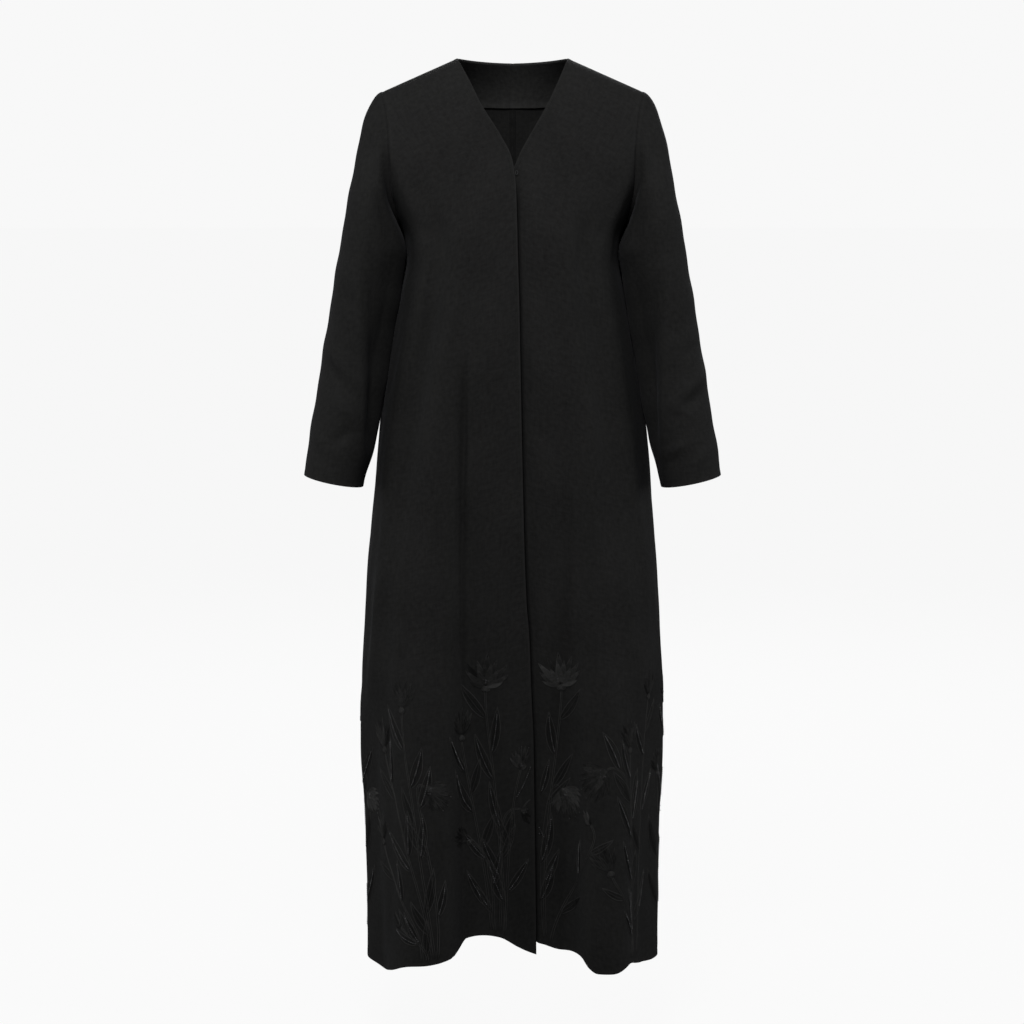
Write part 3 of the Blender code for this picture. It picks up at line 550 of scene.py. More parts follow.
# Half the gap of a double stem, its root above the hem, and clearances of the hem and, in degrees, the edges
STEM_GAP = 0.0013
ROOT_RISE = 0.008
HEM_CLEAR = 0.0035
UPPER_EDGE_CLEAR = 1.3
UNDER_EDGE_CLEAR = 1.7

# Length, pitch, radius and rise of the running stitches
STITCH = 0.0028
STITCH_PITCH = 0.0036
STITCH_RADIUS = 0.00022
STITCH_RISE = (-0.00030, 0.00004, 0.00004, -0.00030)


def smooth(knots, values, at):
    """Monotone cubic through the knots, flat where the values turn."""
    knots = np.asarray(knots, float)
    values = np.asarray(values, float)
    if knots[0] > knots[-1]:
        knots = knots[::-1]
        values = values[::-1]
    step = np.diff(knots)
    rise = np.diff(values) / step
    slope = np.zeros(len(knots))
    same = rise[:-1] * rise[1:] > 0
    total = np.where(same, rise[:-1] + rise[1:], 1.0)
    slope[1:-1] = np.where(same, 2 * rise[:-1] * rise[1:] / total, 0.0)
    slope[0] = rise[0]
    slope[-1] = rise[-1]
    at = np.clip(np.asarray(at, float), knots[0], knots[-1])
    cell = np.clip(np.searchsorted(knots, at, side="right") - 1, 0, len(step) - 1)
    t = (at - knots[cell]) / step[cell]
    low = values[cell]
    high = values[cell + 1]
    lean_low = slope[cell] * step[cell]
    lean_high = slope[cell + 1] * step[cell]
    return (
        (2 * t**3 - 3 * t**2 + 1) * low
        + (t**3 - 2 * t**2 + t) * lean_low
        + (-2 * t**3 + 3 * t**2) * high
        + (t**3 - t**2) * lean_high
    )


def column(table, number, at):
    """One named column of a table, read smoothly at the given first column."""
    rows = np.asarray(table, float)
    return smooth(rows[:, 0], rows[:, number], at)


def ease(value):
    """Soft step from 0 to 1 for values from 0 to 1."""
    value = np.clip(value, 0.0, 1.0)
    return value * value * (3 - 2 * value)


def bell(distance, width):
    """Gaussian of a distance: 1 at none, 1/e at the width."""
    return np.exp(-((distance / width) ** 2))


def beside_line(x, z, ends):
    """Part of the way along a straight line from (x0, z0) to (x1, z1), and the distance from it."""
    x0, z0, x1, z1 = ends
    t = np.clip(((x - x0) * (x1 - x0) + (z - z0) * (z1 - z0)) / ((x1 - x0) ** 2 + (z1 - z0) ** 2), 0.0, 1.0)
    return t, np.hypot(x - x0 - t * (x1 - x0), z - z0 - t * (z1 - z0))


def run_along(points, axis):
    """Distance along the cloth in one direction of a grid, from its first edge."""
    step = np.linalg.norm(np.diff(points, axis=axis), axis=-1)
    return np.insert(np.cumsum(step, axis=axis), 0, 0.0, axis=axis)


def run_back(points, axis):
    """Distance along the cloth in one direction of a grid, from its last edge."""
    return np.flip(run_along(np.flip(points, axis), axis), axis)


def cubic(t, a, b, c, d):
    """Bezier curve of four corners."""
    return (1 - t) ** 3 * a + 3 * t * (1 - t) ** 2 * b + 3 * t**2 * (1 - t) * c + t**3 * d


def unit(vectors):
    """Vectors of length one."""
    return vectors / np.maximum(np.linalg.norm(vectors, axis=-1, keepdims=True), 1e-12)


def ridge(x):
    """Height of the shoulder ridge, carried on past the neck as a straight slope."""
    return -SHOULDER_SLOPE * (np.abs(x) - NECK_HALF)


def top_of_back(x):
    """Upper edge of the back: neck curve, then the shoulder ridge."""
    share = np.clip(np.abs(x) / NECK_HALF, 0.0, 1.0)
    return np.where(np.abs(x) < NECK_HALF, -BACK_NECK_DROP * (1 - share**2), ridge(x))


def fold_offset(theta, z):
    """How far folds carry the cloth out: each is a Gaussian ridge in angle that drifts with the height.

    To the large and small folds come straight drag lines, Gaussian across and a half sine along, and a
    few slow waves.
    """
    degrees = np.degrees(theta) % 360.0
    total = np.zeros(np.broadcast(theta, z).shape)
    for start, full, fade, gone, first, last, offset, width in FOLDS + FINE_FOLDS:
        travel = np.clip((z - start) / (max(gone, HEM_Z) - start), 0.0, 1.0)
        centre = first + (last - first) * travel
        away = (degrees - centre + 180.0) % 360.0 - 180.0
        grow = ease((start - z) / (start - full))
        leave = 1 - ease((fade - z) / (fade - gone))
        total = total + offset * grow * leave * bell(away, width)
    signed = (degrees + 90.0) % 360.0 - 90.0
    across = np.radians(signed) * BODY_RADIUS
    for angle0, z0, angle1, z1, offset, width in DRAG_LINES:
        ends = (math.radians(angle0) * BODY_RADIUS, z0, math.radians(angle1) * BODY_RADIUS, z1)
        t, away = beside_line(across, z, ends)
        total = total + offset * np.sin(np.pi * (0.08 + 0.84 * t)) * bell(away, width)
    calm = ease((-0.02 - z) / 0.12)
    for size, turns, rate, phase in DRIFT:
        total = total + calm * size * np.sin(turns * theta + rate * z + phase)
    return total


def setback(theta, z):
    """How far the middle of the skirt falls back between its side lobes."""
    signed = (np.degrees(theta) + 180.0) % 360.0 - 180.0
    left = np.tanh((signed - SETBACK_LEFT) / SETBACK_BLEND)
    right = np.tanh((signed - SETBACK_RIGHT) / SETBACK_BLEND)
    depth = ease((SETBACK_START - z) / (SETBACK_START - SETBACK_FULL)) * SETBACK_DEPTH
    return 0.5 * (left - right) * depth


def body_point(theta, z, inset=0.0):
    """Outer face of the body: a soft section at each height, rolled over to the shoulder ridge."""
    theta, z, inset = np.broadcast_arrays(theta, z, inset)
    half = column(SECTION, 1, z)
    front = column(SECTION, 2, z)
    back = column(SECTION, 3, z)
    square = column(SECTION, 4, z)
    cosine = np.cos(theta)
    is_front = cosine >= 0
    part = np.abs(cosine)
    shape = (part - square * (4 * part**3 - 3 * part)) / (1 - square)
    x = half * np.sin(theta)
    drop = np.maximum(ridge(x) - z, 0.0)
    roll_front = np.sqrt(1 - (1 - np.minimum(drop / ROLL_FRONT, 1.0)) ** 2)
    roll_back = np.sqrt(1 - (1 - np.minimum(drop / ROLL_BACK, 1.0)) ** 2)
    reach = np.where(is_front, -front * roll_front, back * roll_back) * shape
    deep = np.where(is_front, front, back)
    out_x = deep * np.sin(theta)
    out_y = -half * cosine
    length = np.maximum(np.hypot(out_x, out_y), 1e-9)
    offset = fold_offset(theta, z) - inset
    y = RIDGE_Y + reach + offset * out_y / length + setback(theta, z)
    return np.stack([x + offset * out_x / length, y, z], -1)


def lap_inset(x, z):
    """How far the under front lies inside the upper one."""
    edge = column(FRONT_EDGE, 1, z)
    near = 1 - ease((x - edge - 0.006) / 0.028)
    below = ease((LAP_START - z) / 0.030)
    beyond = np.maximum(x - edge - 0.0010, 0.0)
    valley = LAP_SHADE * (0.78 * bell(beyond, LAP_SHADE_WIDTH) + 0.22 * np.exp(-beyond / LAP_SHADE_TAIL))
    return (WALL + LAP_CLEAR) * near * below + valley * ease((LAP_SHADE_START - z) / 0.08)


def level(x, share, top):
    """Height of a row at x: from the top edge down to the underarm by its share."""
    return top(x) * (1 - share) + UNDERARM_Z * share


def hem_height(theta, table):
    """Height of the hem at an angle."""
    return column(table, 1, np.degrees(theta))


def sleeve_ring(along, around):
    """Outer face of the sleeve tube on the wearer's left; along 0 at the first ring, 1 at the cuff."""
    heights = np.asarray(SLEEVE)[:, 0]
    z = heights[0] + (heights[-1] - heights[0]) * along
    x = column(SLEEVE, 1, z)
    y = column(SLEEVE, 2, z)
    wide = column(SLEEVE, 3, z) * np.cos(around)
    deep = column(SLEEVE, 4, z) * np.sin(around)
    slant = wide * math.cos(SLEEVE_TURN) - deep * math.sin(SLEEVE_TURN)
    return np.stack(
        [
            x + slant * math.cos(SLEEVE_TILT),
            y - wide * math.sin(SLEEVE_TURN) - deep * math.cos(SLEEVE_TURN),
            z + slant * math.sin(SLEEVE_TILT),
        ],
        -1,
    )


def crease_depth(points, outward, rows):
    """Sum of a sleeve's creases: half a sine along each line and a Gaussian across it, on its own face."""
    x, z = points[..., 0], points[..., 2]
    depth = np.zeros(x.shape)
    for x0, z0, x1, z1, face, offset, width in rows:
        t, away = beside_line(x, z, (x0, z0, x1, z1))
        shown = np.clip(face * outward[..., 1] * 1.6, 0.0, 1.0)
        depth += offset * np.sin(np.pi * (0.12 + 0.76 * t)) * shown * bell(away, width)
    return depth


def grid_normals(points, closed):
    """Unit normals of a grid of points, pointing away from the wearer."""
    down = np.gradient(points, axis=0)
    if closed:
        across = np.roll(points, -1, axis=1) - np.roll(points, 1, axis=1)
    else:
        across = np.gradient(points, axis=1)
    return unit(np.cross(across, down))


def ridge_normal(points):
    """Upward normals along the shoulder ridge."""
    lean = np.sign(points[..., :1]) * SHOULDER_SLOPE
    return unit(np.concatenate([lean, np.zeros(lean.shape), np.ones(lean.shape)], -1))


def spread(count, size, start=True, end=True):
    """Places from 0 to 1: an even run, with closer ones beside the ends that have a turned edge."""
    near = np.array(EDGE_STEPS) / size
    first = near if start else np.array([])
    last = 1 - near[::-1] if end else np.array([])
    low = first[-1] if start else 0.0
    high = last[0] if end else 1.0
    middle = np.linspace(low, high, count)
    if start:
        middle = middle[1:]
    if end:
        middle = middle[:-1]
    return np.concatenate([[0.0] if start else [], first, middle, last, [1.0] if end else []])


def row_ends(share, top, inner):
    """Angles of the inner and outer ends of the rows above the underarm, by repeated substitution."""
    x = np.full(share.shape, SHOULDER_HALF)
    for _ in range(30):
        x = column(ARMHOLE, 1, level(x, share, top))
    outer = np.arcsin(np.minimum(x / column(SECTION, 1, level(x, share, top)), 1.0))
    if inner is None:
        return 0 * outer, outer
    x = column(FRONT_EDGE, inner, 0 * share)
    for _ in range(60):
        x = 0.5 * x + 0.5 * column(FRONT_EDGE, inner, level(x, share, top))
    return np.arcsin(x / column(SECTION, 1, level(x, share, top))), outer


def back_columns():
    """Columns of a back panel with the nearest one moved onto the high shoulder point."""
    columns = spread(PANEL_COLUMNS, 0.36)
    _, outer = row_ends(np.zeros(1), top_of_back, None)
    share = math.asin(NECK_HALF / float(column(SECTION, 1, 0.0))) / outer[0]
    columns[np.argmin(np.abs(columns - share))] = share
    return columns


def yoke_rows(share, columns, side, inner):
    """Angles and heights of rows from the top edge, at share 0, down to the underarm, at share 1."""
    top = top_of_back if inner is None else ridge
    first, last = (end[:, None] for end in row_ends(share, top, inner))
    if inner is None:
        theta = np.pi - columns * last
    else:
        theta = first + (side * last - first) * columns
    z = UNDERARM_Z * share[:, None] + 0 * theta
    for _ in range(ROW_PASSES):
        z = level(column(SECTION, 1, z) * np.sin(theta), share[:, None], top)
    return theta, z


def skirt_rows(height, columns, side, inner, hem):
    """Angles and heights of rows below the underarm; the lowest ones bend into the hem's own line."""
    height = height[:, None]
    if inner is None:
        theta = np.pi - columns * np.pi / 2 + 0 * height
        angle = theta if side > 0 else 2 * np.pi - theta
    else:
        first = np.arcsin(column(FRONT_EDGE, inner, height) / column(SECTION, 1, height))
        theta = first + (side * np.pi / 2 - first) * columns
        angle = theta
    low = ease((-0.90 - height) / 0.50)
    return theta, height + low * (hem_height(angle, hem) - HEM_Z)


def panel_grid(side, inner, hem):
    """Outer face of a panel: rows from the top edge to the hem, columns from the inner edge outwards."""
    columns = back_columns() if inner is None else spread(PANEL_COLUMNS, 0.34)
    if inner == 2:
        clear = (columns < 0.067) | (columns > 0.143)
        columns = np.sort(np.concatenate([columns[clear], np.linspace(0.070, 0.140, 32)]))
    share = spread(YOKE_ROWS, 0.25, end=False)
    fall = UNDERARM_Z - 0.006 - HEM_Z
    height = HEM_Z + fall * (1 - spread(SKIRT_ROWS, fall, start=False))
    upper = yoke_rows(share, columns, side, inner)
    lower = skirt_rows(height, columns, side, inner, hem)
    theta = np.vstack([upper[0], lower[0]])
    z = np.vstack([upper[1], lower[1]])
    if inner is None and side < 0:
        theta = 2 * np.pi - theta
    inset = 0 * z
    if inner == 2:
        inset = lap_inset(column(SECTION, 1, z) * np.sin(theta), z)
    return body_point(theta, z, inset), len(share)


def sleeve_grid(loop):
    """Sleeve rows from the armhole loop to the cuff: a cubic from each loop point, then tilted ellipses."""
    count = len(loop)
    half = count // 2
    ring = np.vstack([loop, loop[:1]])
    arc = run_along(ring, 0)
    front = np.pi * arc[:half] / arc[half]
    rear = np.pi + np.pi * (arc[half:count] - arc[half]) / (arc[count] - arc[half])
    around = np.concatenate([front, rear])
    share = np.minimum(around, 2 * np.pi - around) / np.pi
    reach = column(SLEEVE_HEAD, 1, share)
    above = column(SLEEVE_HEAD, 2, share)
    lead = np.stack([column(SLEEVE_HEAD, n, share) for n in (3, 4, 5)], -1)
    lead[:, 1] = lead[:, 1] * np.where(around > np.pi, -1.0, 1.0)
    lead = unit(lead)
    axis = np.array([math.sin(SLEEVE_TILT), 0.0, -math.cos(SLEEVE_TILT)])
    last = sleeve_ring(np.zeros(count), around)
    second = loop + lead * reach[:, None]
    third = last - axis * above[:, None]
    t = spread(SLEEVE_HEAD_STEPS, 0.20, end=False)[:, None, None]
    head = cubic(t, loop, second, third, last)
    along = spread(SLEEVE_TUBE_STEPS, 0.36, start=False)[1:]
    tube = sleeve_ring(along[:, None], around[None, :])
    start = np.concatenate([ease(t[:, 0, 0] / 0.24), np.ones(len(along))])
    return np.concatenate([head, tube]), start


def small_creases(points, outward, start, side):
    """Moves sleeve points along their normals at the small creases of that side, and turns the face in."""
    x, z = points[..., 0], points[..., 2]
    move = crease_depth(points, outward, [row[:7] for row in FINE_CREASES if row[7] in (0, side)])
    inside = column(SLEEVE_TURN_IN, 1, z) - np.abs(x)
    move -= column(SLEEVE_TURN_IN, 2, z) * ease(inside / 0.024) * np.clip(-outward[..., 1] * 1.8, 0.0, 1.0)
    lean = column(SLEEVE_TURN_IN, 3, z) * np.clip(inside / 0.045, 0.0, 1.0) * start[:, None]
    wave = 0.0006 * np.sin(61 * z + 38 * x + side) + 0.0004 * np.sin(97 * z - 55 * x + 2.0 * side)
    return points + outward * ((move + wave) * start[:, None])[..., None] + lean[..., None] * [0.0, 1.0, 0.0]


def seam_dip(distance):
    """Depth of a pressed seam: a Gaussian of the distance from it."""
    return -SEAM_DEPTH * bell(distance, SEAM_WIDTH)


def turned_edge(distance):
    """Relief of a narrow hem: a raised band that ends in the Gaussian groove of its stitches."""
    band = HEM_RISE * (1 - ease((distance - HEM_BAND) / 0.0020))
    return band - 0.8 * HEM_RISE * bell(distance - HEM_BAND, 0.0011)


def away_from_body(points, closed=False):
    """Outward unit normals of a grid, and +1 or -1 for the way round that its faces must go."""
    normals = grid_normals(points, closed)
    if closed:
        centre = points.mean(axis=1, keepdims=True)
    else:
        centre = points * [0.0, 0.0, 1.0] + [0.0, RIDGE_Y, 0.0]
    sign = np.sign(np.sum(normals * (points - centre)))
    return normals * sign, sign


def cells(shape):
    """Corner numbers of the faces of one grid of points, or of several grids of one size."""
    index = np.arange(math.prod(shape)).reshape(shape)
    low, high = index[..., :-1, :], index[..., 1:, :]
    return np.stack([low[..., :-1], low[..., 1:], high[..., 1:], high[..., :-1]], -1).reshape(-1, 4)


def grid_quads(rows, cols, sign=1.0):
    """Corner numbers of a grid's faces, turned over where sign is negative."""
    quads = cells((rows, cols))
    return quads if sign > 0 else quads[:, ::-1]


def grid_lengths(points):
    """Width and length coordinates in metres over a grid, for the weave."""
    return np.stack([run_along(points, 1), -run_along(points, 0)], -1)


def placed(name, data):
    """A new object of a mesh, a light or a camera, in the scene."""
    made = bpy.data.objects.new(name, data)
    bpy.context.scene.collection.objects.link(made)
    return made


def plain_mesh(name, points, quads, material):
    """A mesh from arrays of points and faces, with its material."""
    mesh = bpy.data.meshes.new(name)
    mesh.from_pydata(points.reshape(-1, 3).tolist(), [], quads.tolist())
    mesh.materials.append(material)
    return mesh


def new_piece(name, points, quads, lengths, material, tone_and_painted_sheen, smooth_faces=True):
    """A mesh object with weave coordinates and a number for each point, riding on the cloak."""
    # Each point's number is its tone; on the crepe it is the share of painted highlight
    mesh = plain_mesh(name, points, quads, material)
    layer = mesh.uv_layers.new(name="weave")
    layer.data.foreach_set("uv", lengths.reshape(-1, 2)[quads.ravel()].ravel())
    attribute = mesh.attributes.new("tone_and_painted_sheen", "FLOAT", "POINT")
    attribute.data.foreach_set("value", np.ascontiguousarray(tone_and_painted_sheen, dtype=float).ravel())
    if smooth_faces:
        mesh.shade_smooth()
    piece = placed(name, mesh)
    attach(piece, "root")
    return piece


def thicken(piece, thickness):
    """Gives a sheet its thickness towards the wearer."""
    solid = piece.modifiers.new("thickness", "SOLIDIFY")
    solid.thickness = thickness
    solid.offset = -1.0
    solid.use_rim = True


class Value:
    """One socket of a shader. Arithmetic on it adds Math nodes; node adds any other node."""

    def __init__(self, tree, socket=None):
        self.tree = tree
        self.socket = socket

    def node(self, kind, settings=None, sockets=None, output=0):
        """A node of a kind, with its settings first and then its sockets' numbers or links."""
        made = self.tree.nodes.new(kind)
        for key, value in (settings or {}).items():
            setattr(made, key, value)
        for key, value in (sockets or {}).items():
            if isinstance(value, Value):
                self.tree.links.new(value.socket, made.inputs[key])
            else:
                made.inputs[key].default_value = value
        return Value(self.tree, made.outputs[output])

    def maths(self, operation, *parts):
        """A Math node of an operation on sockets and numbers."""
        return self.node("ShaderNodeMath", {"operation": operation}, dict(enumerate(parts)))

    def __add__(self, other):
        return self.maths("ADD", self, other)

    def __radd__(self, other):
        return self.maths("ADD", other, self)

    def __sub__(self, other):
        return self.maths("SUBTRACT", self, other)

    def __rsub__(self, other):
        return self.maths("SUBTRACT", other, self)

    def __mul__(self, other):
        return self.maths("MULTIPLY", self, other)

    def __rmul__(self, other):
        return self.maths("MULTIPLY", other, self)

    def sine(self):
        """Sine of the value."""
        return self.maths("SINE", self)

    def noise(self, coordinates, scale, detail=2.0):
        """Noise from 0 to 1 at a scale in turns per metre, or a different one each way."""
        if isinstance(scale, tuple):
            coordinates = self.node(
                "ShaderNodeVectorMath", {"operation": "MULTIPLY"}, {0: coordinates, 1: scale + (1.0,)}
            )
            scale = 1.0
        sockets = {"Vector": coordinates, "Scale": scale, "Detail": detail}
        return self.node("ShaderNodeTexNoise", {"noise_dimensions": "3D"}, sockets)

    def mix(self, factor, low, high):
        """A colour between two colours."""
        sockets = {0: factor, 6: low, 7: high}
        return self.node("ShaderNodeMix", {"data_type": "RGBA"}, sockets, 2)

    def split(self, part):
        """One part of a vector."""
        return self.node("ShaderNodeSeparateXYZ", None, {0: self}, part)

    def attribute(self, name):
        """The number that a piece's own attribute holds."""
        return self.node("ShaderNodeAttribute", {"attribute_name": name}, None, 2)


def blank_material(name, **fixed):
    """A material with the numbers that are the same all over set on its shader, and a Value to build with."""
    material = bpy.data.materials.new(name)
    material.use_nodes = True
    shader = material.node_tree.nodes["Principled BSDF"]
    for key, value in fixed.items():
        shader.inputs[key.replace("_", " ")].default_value = value
    return material, shader, Value(material.node_tree)


def connect(material, shader, **links):
    """Joins worked-out values to the shader's own sockets."""
    for key, value in links.items():
        material.node_tree.links.new(value.socket, shader.inputs[key.replace("_", " ")])


def crepe(name, colour, grain=1.0):
    """Matt crepe: pebbled grain over a fine plain weave, cloudy tone, and a painted highlight that lightens
    the turned edges and the bands beside the seams.
    """
    fixed = {"Specular_IOR_Level": 0.06, "Sheen_Weight": 0.02, "Sheen_Roughness": 0.45}
    material, shader, make = blank_material(name, **fixed)
    shader.inputs["Sheen Tint"].default_value = (0.80, 0.82, 0.88, 1.0)
    weave = make.node("ShaderNodeUVMap", {"uv_map": "weave"})
    tone_and_painted_sheen = make.attribute("tone_and_painted_sheen")
    warp = (weave.split(0) * (math.tau / THREAD_PITCH)).sine()
    weft = (weave.split(1) * (math.tau / THREAD_PITCH)).sine()
    pebble = make.noise(weave, 900.0, 3.0)
    slub = make.noise(weave, (420.0, 40.0)) * 0.5 + make.noise(weave, (40.0, 420.0)) * 0.5
    mottle = make.noise(weave, 150.0, 4.0)
    cloud = make.noise(weave, 9.0, 3.0)
    height = pebble * 1.1 + slub * 0.9 + mottle * 1.2 + warp * weft * 0.25
    bump = make.node(
        "ShaderNodeBump", None, {"Strength": 0.45 * grain, "Distance": 0.00030, "Height": height}
    )
    # edge is the colour of the painted highlight on turned edges and beside seams
    low, high, edge = (tuple(c * share for c in colour) + (1.0,) for share in (0.10, 1.90, 1.5))
    shade = make.mix(cloud * 0.30 + mottle * 0.50 + slub * 0.40 + pebble * 0.20 - 0.20, low, high)
    base = make.mix(tone_and_painted_sheen * 0.45, shade, edge)
    rough = 0.90 - pebble * 0.10 - tone_and_painted_sheen * 0.10
    connect(material, shader, Base_Color=base, Roughness=rough, Normal=bump)
    return material


def floss(name, dark, light, rough, pitch, slant):
    """Embroidery thread from dark to light by each stroke's tone, which is partly the thread's own and partly
    painted satin sheen, in strands a pitch apart at a slant.
    """
    fixed = {"Specular_IOR_Level": 0.10}
    material, shader, make = blank_material(name, **fixed)
    weave = make.node("ShaderNodeUVMap", {"uv_map": "weave"})
    tone = make.attribute("tone_and_painted_sheen")
    twist = ((weave.split(0) + weave.split(1) * slant) * (math.tau / pitch)).sine()
    fibre = make.noise(weave, (2600.0, 500.0))
    cloud = make.noise(weave, 60.0)
    height = twist * 0.6 + fibre * 0.5
    bump = make.node("ShaderNodeBump", None, {"Strength": 0.5, "Distance": 0.00012, "Height": height})
    share = tone * (0.55 + cloud * 0.5 + fibre * 0.4) + twist * 0.02
    base = make.mix(share, dark + (1.0,), light + (1.0,))
    connect(material, shader, Base_Color=base, Roughness=rough + fibre * 0.14 - tone * 0.08, Normal=bump)
    return material


def bead_finish(name, dark, bright):
    """Faceted beads, some of black glass and some with a silvered core, by each bead's own tone."""
    fixed = {"Specular_IOR_Level": 0.6, "Coat_Roughness": 0.03}
    material, shader, make = blank_material(name, **fixed)
    tone = make.attribute("tone_and_painted_sheen")
    base = make.mix(tone, tuple(dark) + (1.0,), tuple(bright) + (1.0,))
    grain = make.noise(make.node("ShaderNodeTexCoord", None, None, 3), 700.0)
    connect(
        material, shader, Base_Color=base, Metallic=tone * 0.5, Roughness=0.26 + grain * 0.16,
        Coat_Weight=0.5 - tone * 0.3,
    )
    return material


def wire_finish(name):
    """Black lacquered wire, worn a little in scattered spots."""
    material, shader, make = blank_material(name, Metallic=0.2, Specular_IOR_Level=0.15)
    place = make.node("ShaderNodeTexCoord", None, None, 3)
    scuff = make.noise(place, 2200.0, 3.0)
    base = make.mix(scuff, (0.008, 0.008, 0.008, 1.0), (0.045, 0.045, 0.047, 1.0))
    bump = make.node("ShaderNodeBump", None, {"Strength": 0.3, "Distance": 0.0001, "Height": scuff})
    connect(material, shader, Base_Color=base, Roughness=0.30 + scuff * 0.25, Normal=bump)
    return material


@functools.cache
def all_grids():
    """Outer grids, outward normals and face signs of the four panels and both sleeves, joined at seams."""
    made = {}
    for side, sign in (("right", -1.0), ("left", 1.0)):
        front, last = panel_grid(sign, 1 if sign < 0 else 2, HEM_UPPER if sign < 0 else HEM_UNDER)
        back, _ = panel_grid(sign, None, HEM_BACK)
        front_out, front_sign = away_from_body(front)
        back_out, back_sign = away_from_body(back)
        front_out[0] = ridge_normal(front[0])
        crown = np.abs(back[0, :, 0]) > NECK_HALF * 0.995
        back_out[0, crown] = ridge_normal(back[0, crown])
        seam = unit(front_out[last - 1 :, -1] + back_out[last - 1 :, -1])
        front_out[last - 1 :, -1] = seam
        back_out[last - 1 :, -1] = seam
        back_out[1:, 0] = unit(back_out[1:, 0] * [0.0, 1.0, 1.0])
        flip = np.array([sign, 1.0, 1.0])
        loop = np.vstack([front[:last, -1], back[1 : last - 1, -1][::-1]]) * flip
        around = np.vstack([front_out[:last, -1], back_out[1 : last - 1, -1][::-1]]) * flip
        tube, start = sleeve_grid(loop)
        outward, _ = away_from_body(tube, True)
        tube = tube + outward * (crease_depth(tube, outward, SLEEVE_CREASES) * start[:, None])[..., None]
        tube = small_creases(tube, outward, start, sign)
        outward, tube_sign = away_from_body(tube, True)
        joined = unit(outward[0] + around)
        outward[0] = joined
        front_out[:last, -1] = joined[:last] * flip
        back_out[0, -1] = joined[0] * flip
        back_out[1 : last - 1, -1] = joined[last:][::-1] * flip
        back_out[last - 1, -1] = joined[last - 1] * flip
        wrap = np.r_[np.arange(last - 1, len(loop)), np.arange(last)]
        made["front_" + side] = (front, front_out, front_sign)
        made["back_" + side] = (back, back_out, back_sign)
        made["sleeve_" + side] = (tube[:, wrap] * flip, outward[:, wrap] * flip, tube_sign * sign)
    return made


def finished_grid(name, points, normals):
    """A grid with the relief of its seams and turned edges, and how near each point is to a turned edge."""
    top, low = run_along(points, 0), run_back(points, 0)
    near, far = run_along(points, 1), run_back(points, 1)
    if name.startswith("sleeve"):
        seams, free = [top, near, far], low
    elif name.startswith("front"):
        seams, free = [top, far], np.minimum(near, low)
    else:
        neck = ease((NECK_HALF - np.abs(points[:1, :, 0])) / 0.004)
        seams, free = [top + neck, near, far], np.minimum(top + 1 - neck, low)
    closest = np.min(seams, axis=0)
    run = points[..., 2] * 210 + points[..., 0] * 170
    pucker = 0.75 + 0.25 * np.sin(run) + 0.15 * np.sin(1.7 * run + 1.0)
    move = seam_dip(closest) * pucker + turned_edge(free)
    if name == "front_right":
        move += LAP_ROLL * bell(near, 0.0055) * ease((LAP_SHADE_START - points[..., 2]) / 0.05)
    # Share of painted highlight: full on a turned edge, half in a band about 4 mm beside a seam
    tone_and_painted_sheen = bell(free, 0.0022) + 0.5 * bell(closest - 0.004, 0.002)
    return points + normals * move[..., None], np.minimum(tone_and_painted_sheen, 1.0)


def sewn_panel(name, material):
    """One panel or sleeve, as a sheet of cloth with its relief and thickness."""
    points, normals, sign = all_grids()[name]
    shaped, tone_and_painted_sheen = finished_grid(name, points, normals)
    quads = grid_quads(*points.shape[:2], sign)
    lengths = grid_lengths(points)
    if name.startswith("sleeve"):
        whole = lengths[:, -1:, 0]
        lengths = np.stack([lengths[..., 0] / whole * whole.mean(), -points[..., 2]], -1)
    piece = new_piece("cloth_" + name, shaped, quads, lengths, material, tone_and_painted_sheen)
    thicken(piece, bpy.context.scene.abaya_cloth.thickness)
    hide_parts(name)


def declare_cut(name, width, length, area):
    """Gathers the names of the stitching and beads that are sewn to a piece of cloth, and keeps nothing."""
    sewn_on = [kind + name for kind in ("threads_", "petals_", "beads_")]
    sewn_on += {"front_right": ["topstitching"], "back_left": ["seam_allowances"]}.get(name, [])


def facing_grid():
    """Facing inside the back neck: columns across both back panels, rows down from the neck edge.

    Its points are the back panels' own, moved in; the lower edge rises in a soft curve at both ends.
    """
    across = np.linspace(-1.0, 1.0, 121)
    down = np.concatenate([np.linspace(0.0, 0.9, 24), [0.94, 0.97, 0.985, 1.0]])
    columns = np.abs(across) * FACING_END
    lowest = FACING_SIDE + FACING_DEEPER * (1 - 0.64 * ease((np.abs(across) - 0.74) / 0.26))
    share = (down[:, None] * lowest[None, :]).ravel()
    wide = np.tile(columns, len(down))
    _, last = row_ends(share, top_of_back, None)
    theta = np.pi - wide * last
    z = UNDERARM_Z * share
    for _ in range(ROW_PASSES):
        z = level(column(SECTION, 1, z) * np.sin(theta), share, top_of_back)
    shape = (len(down), len(across))
    theta = np.where(np.tile(across, len(down)) < 0, 2 * np.pi - theta, theta).reshape(shape)
    points = body_point(theta, z.reshape(shape), 0 * theta)
    normals, sign = away_from_body(points)
    edge = run_back(points, 0)
    lift = FACING_IN + 0.0012 * bell(edge, 0.006) + 0.0003 * np.sin(34 * theta) * (edge < 0.05)
    return points - normals * lift[..., None], edge, sign


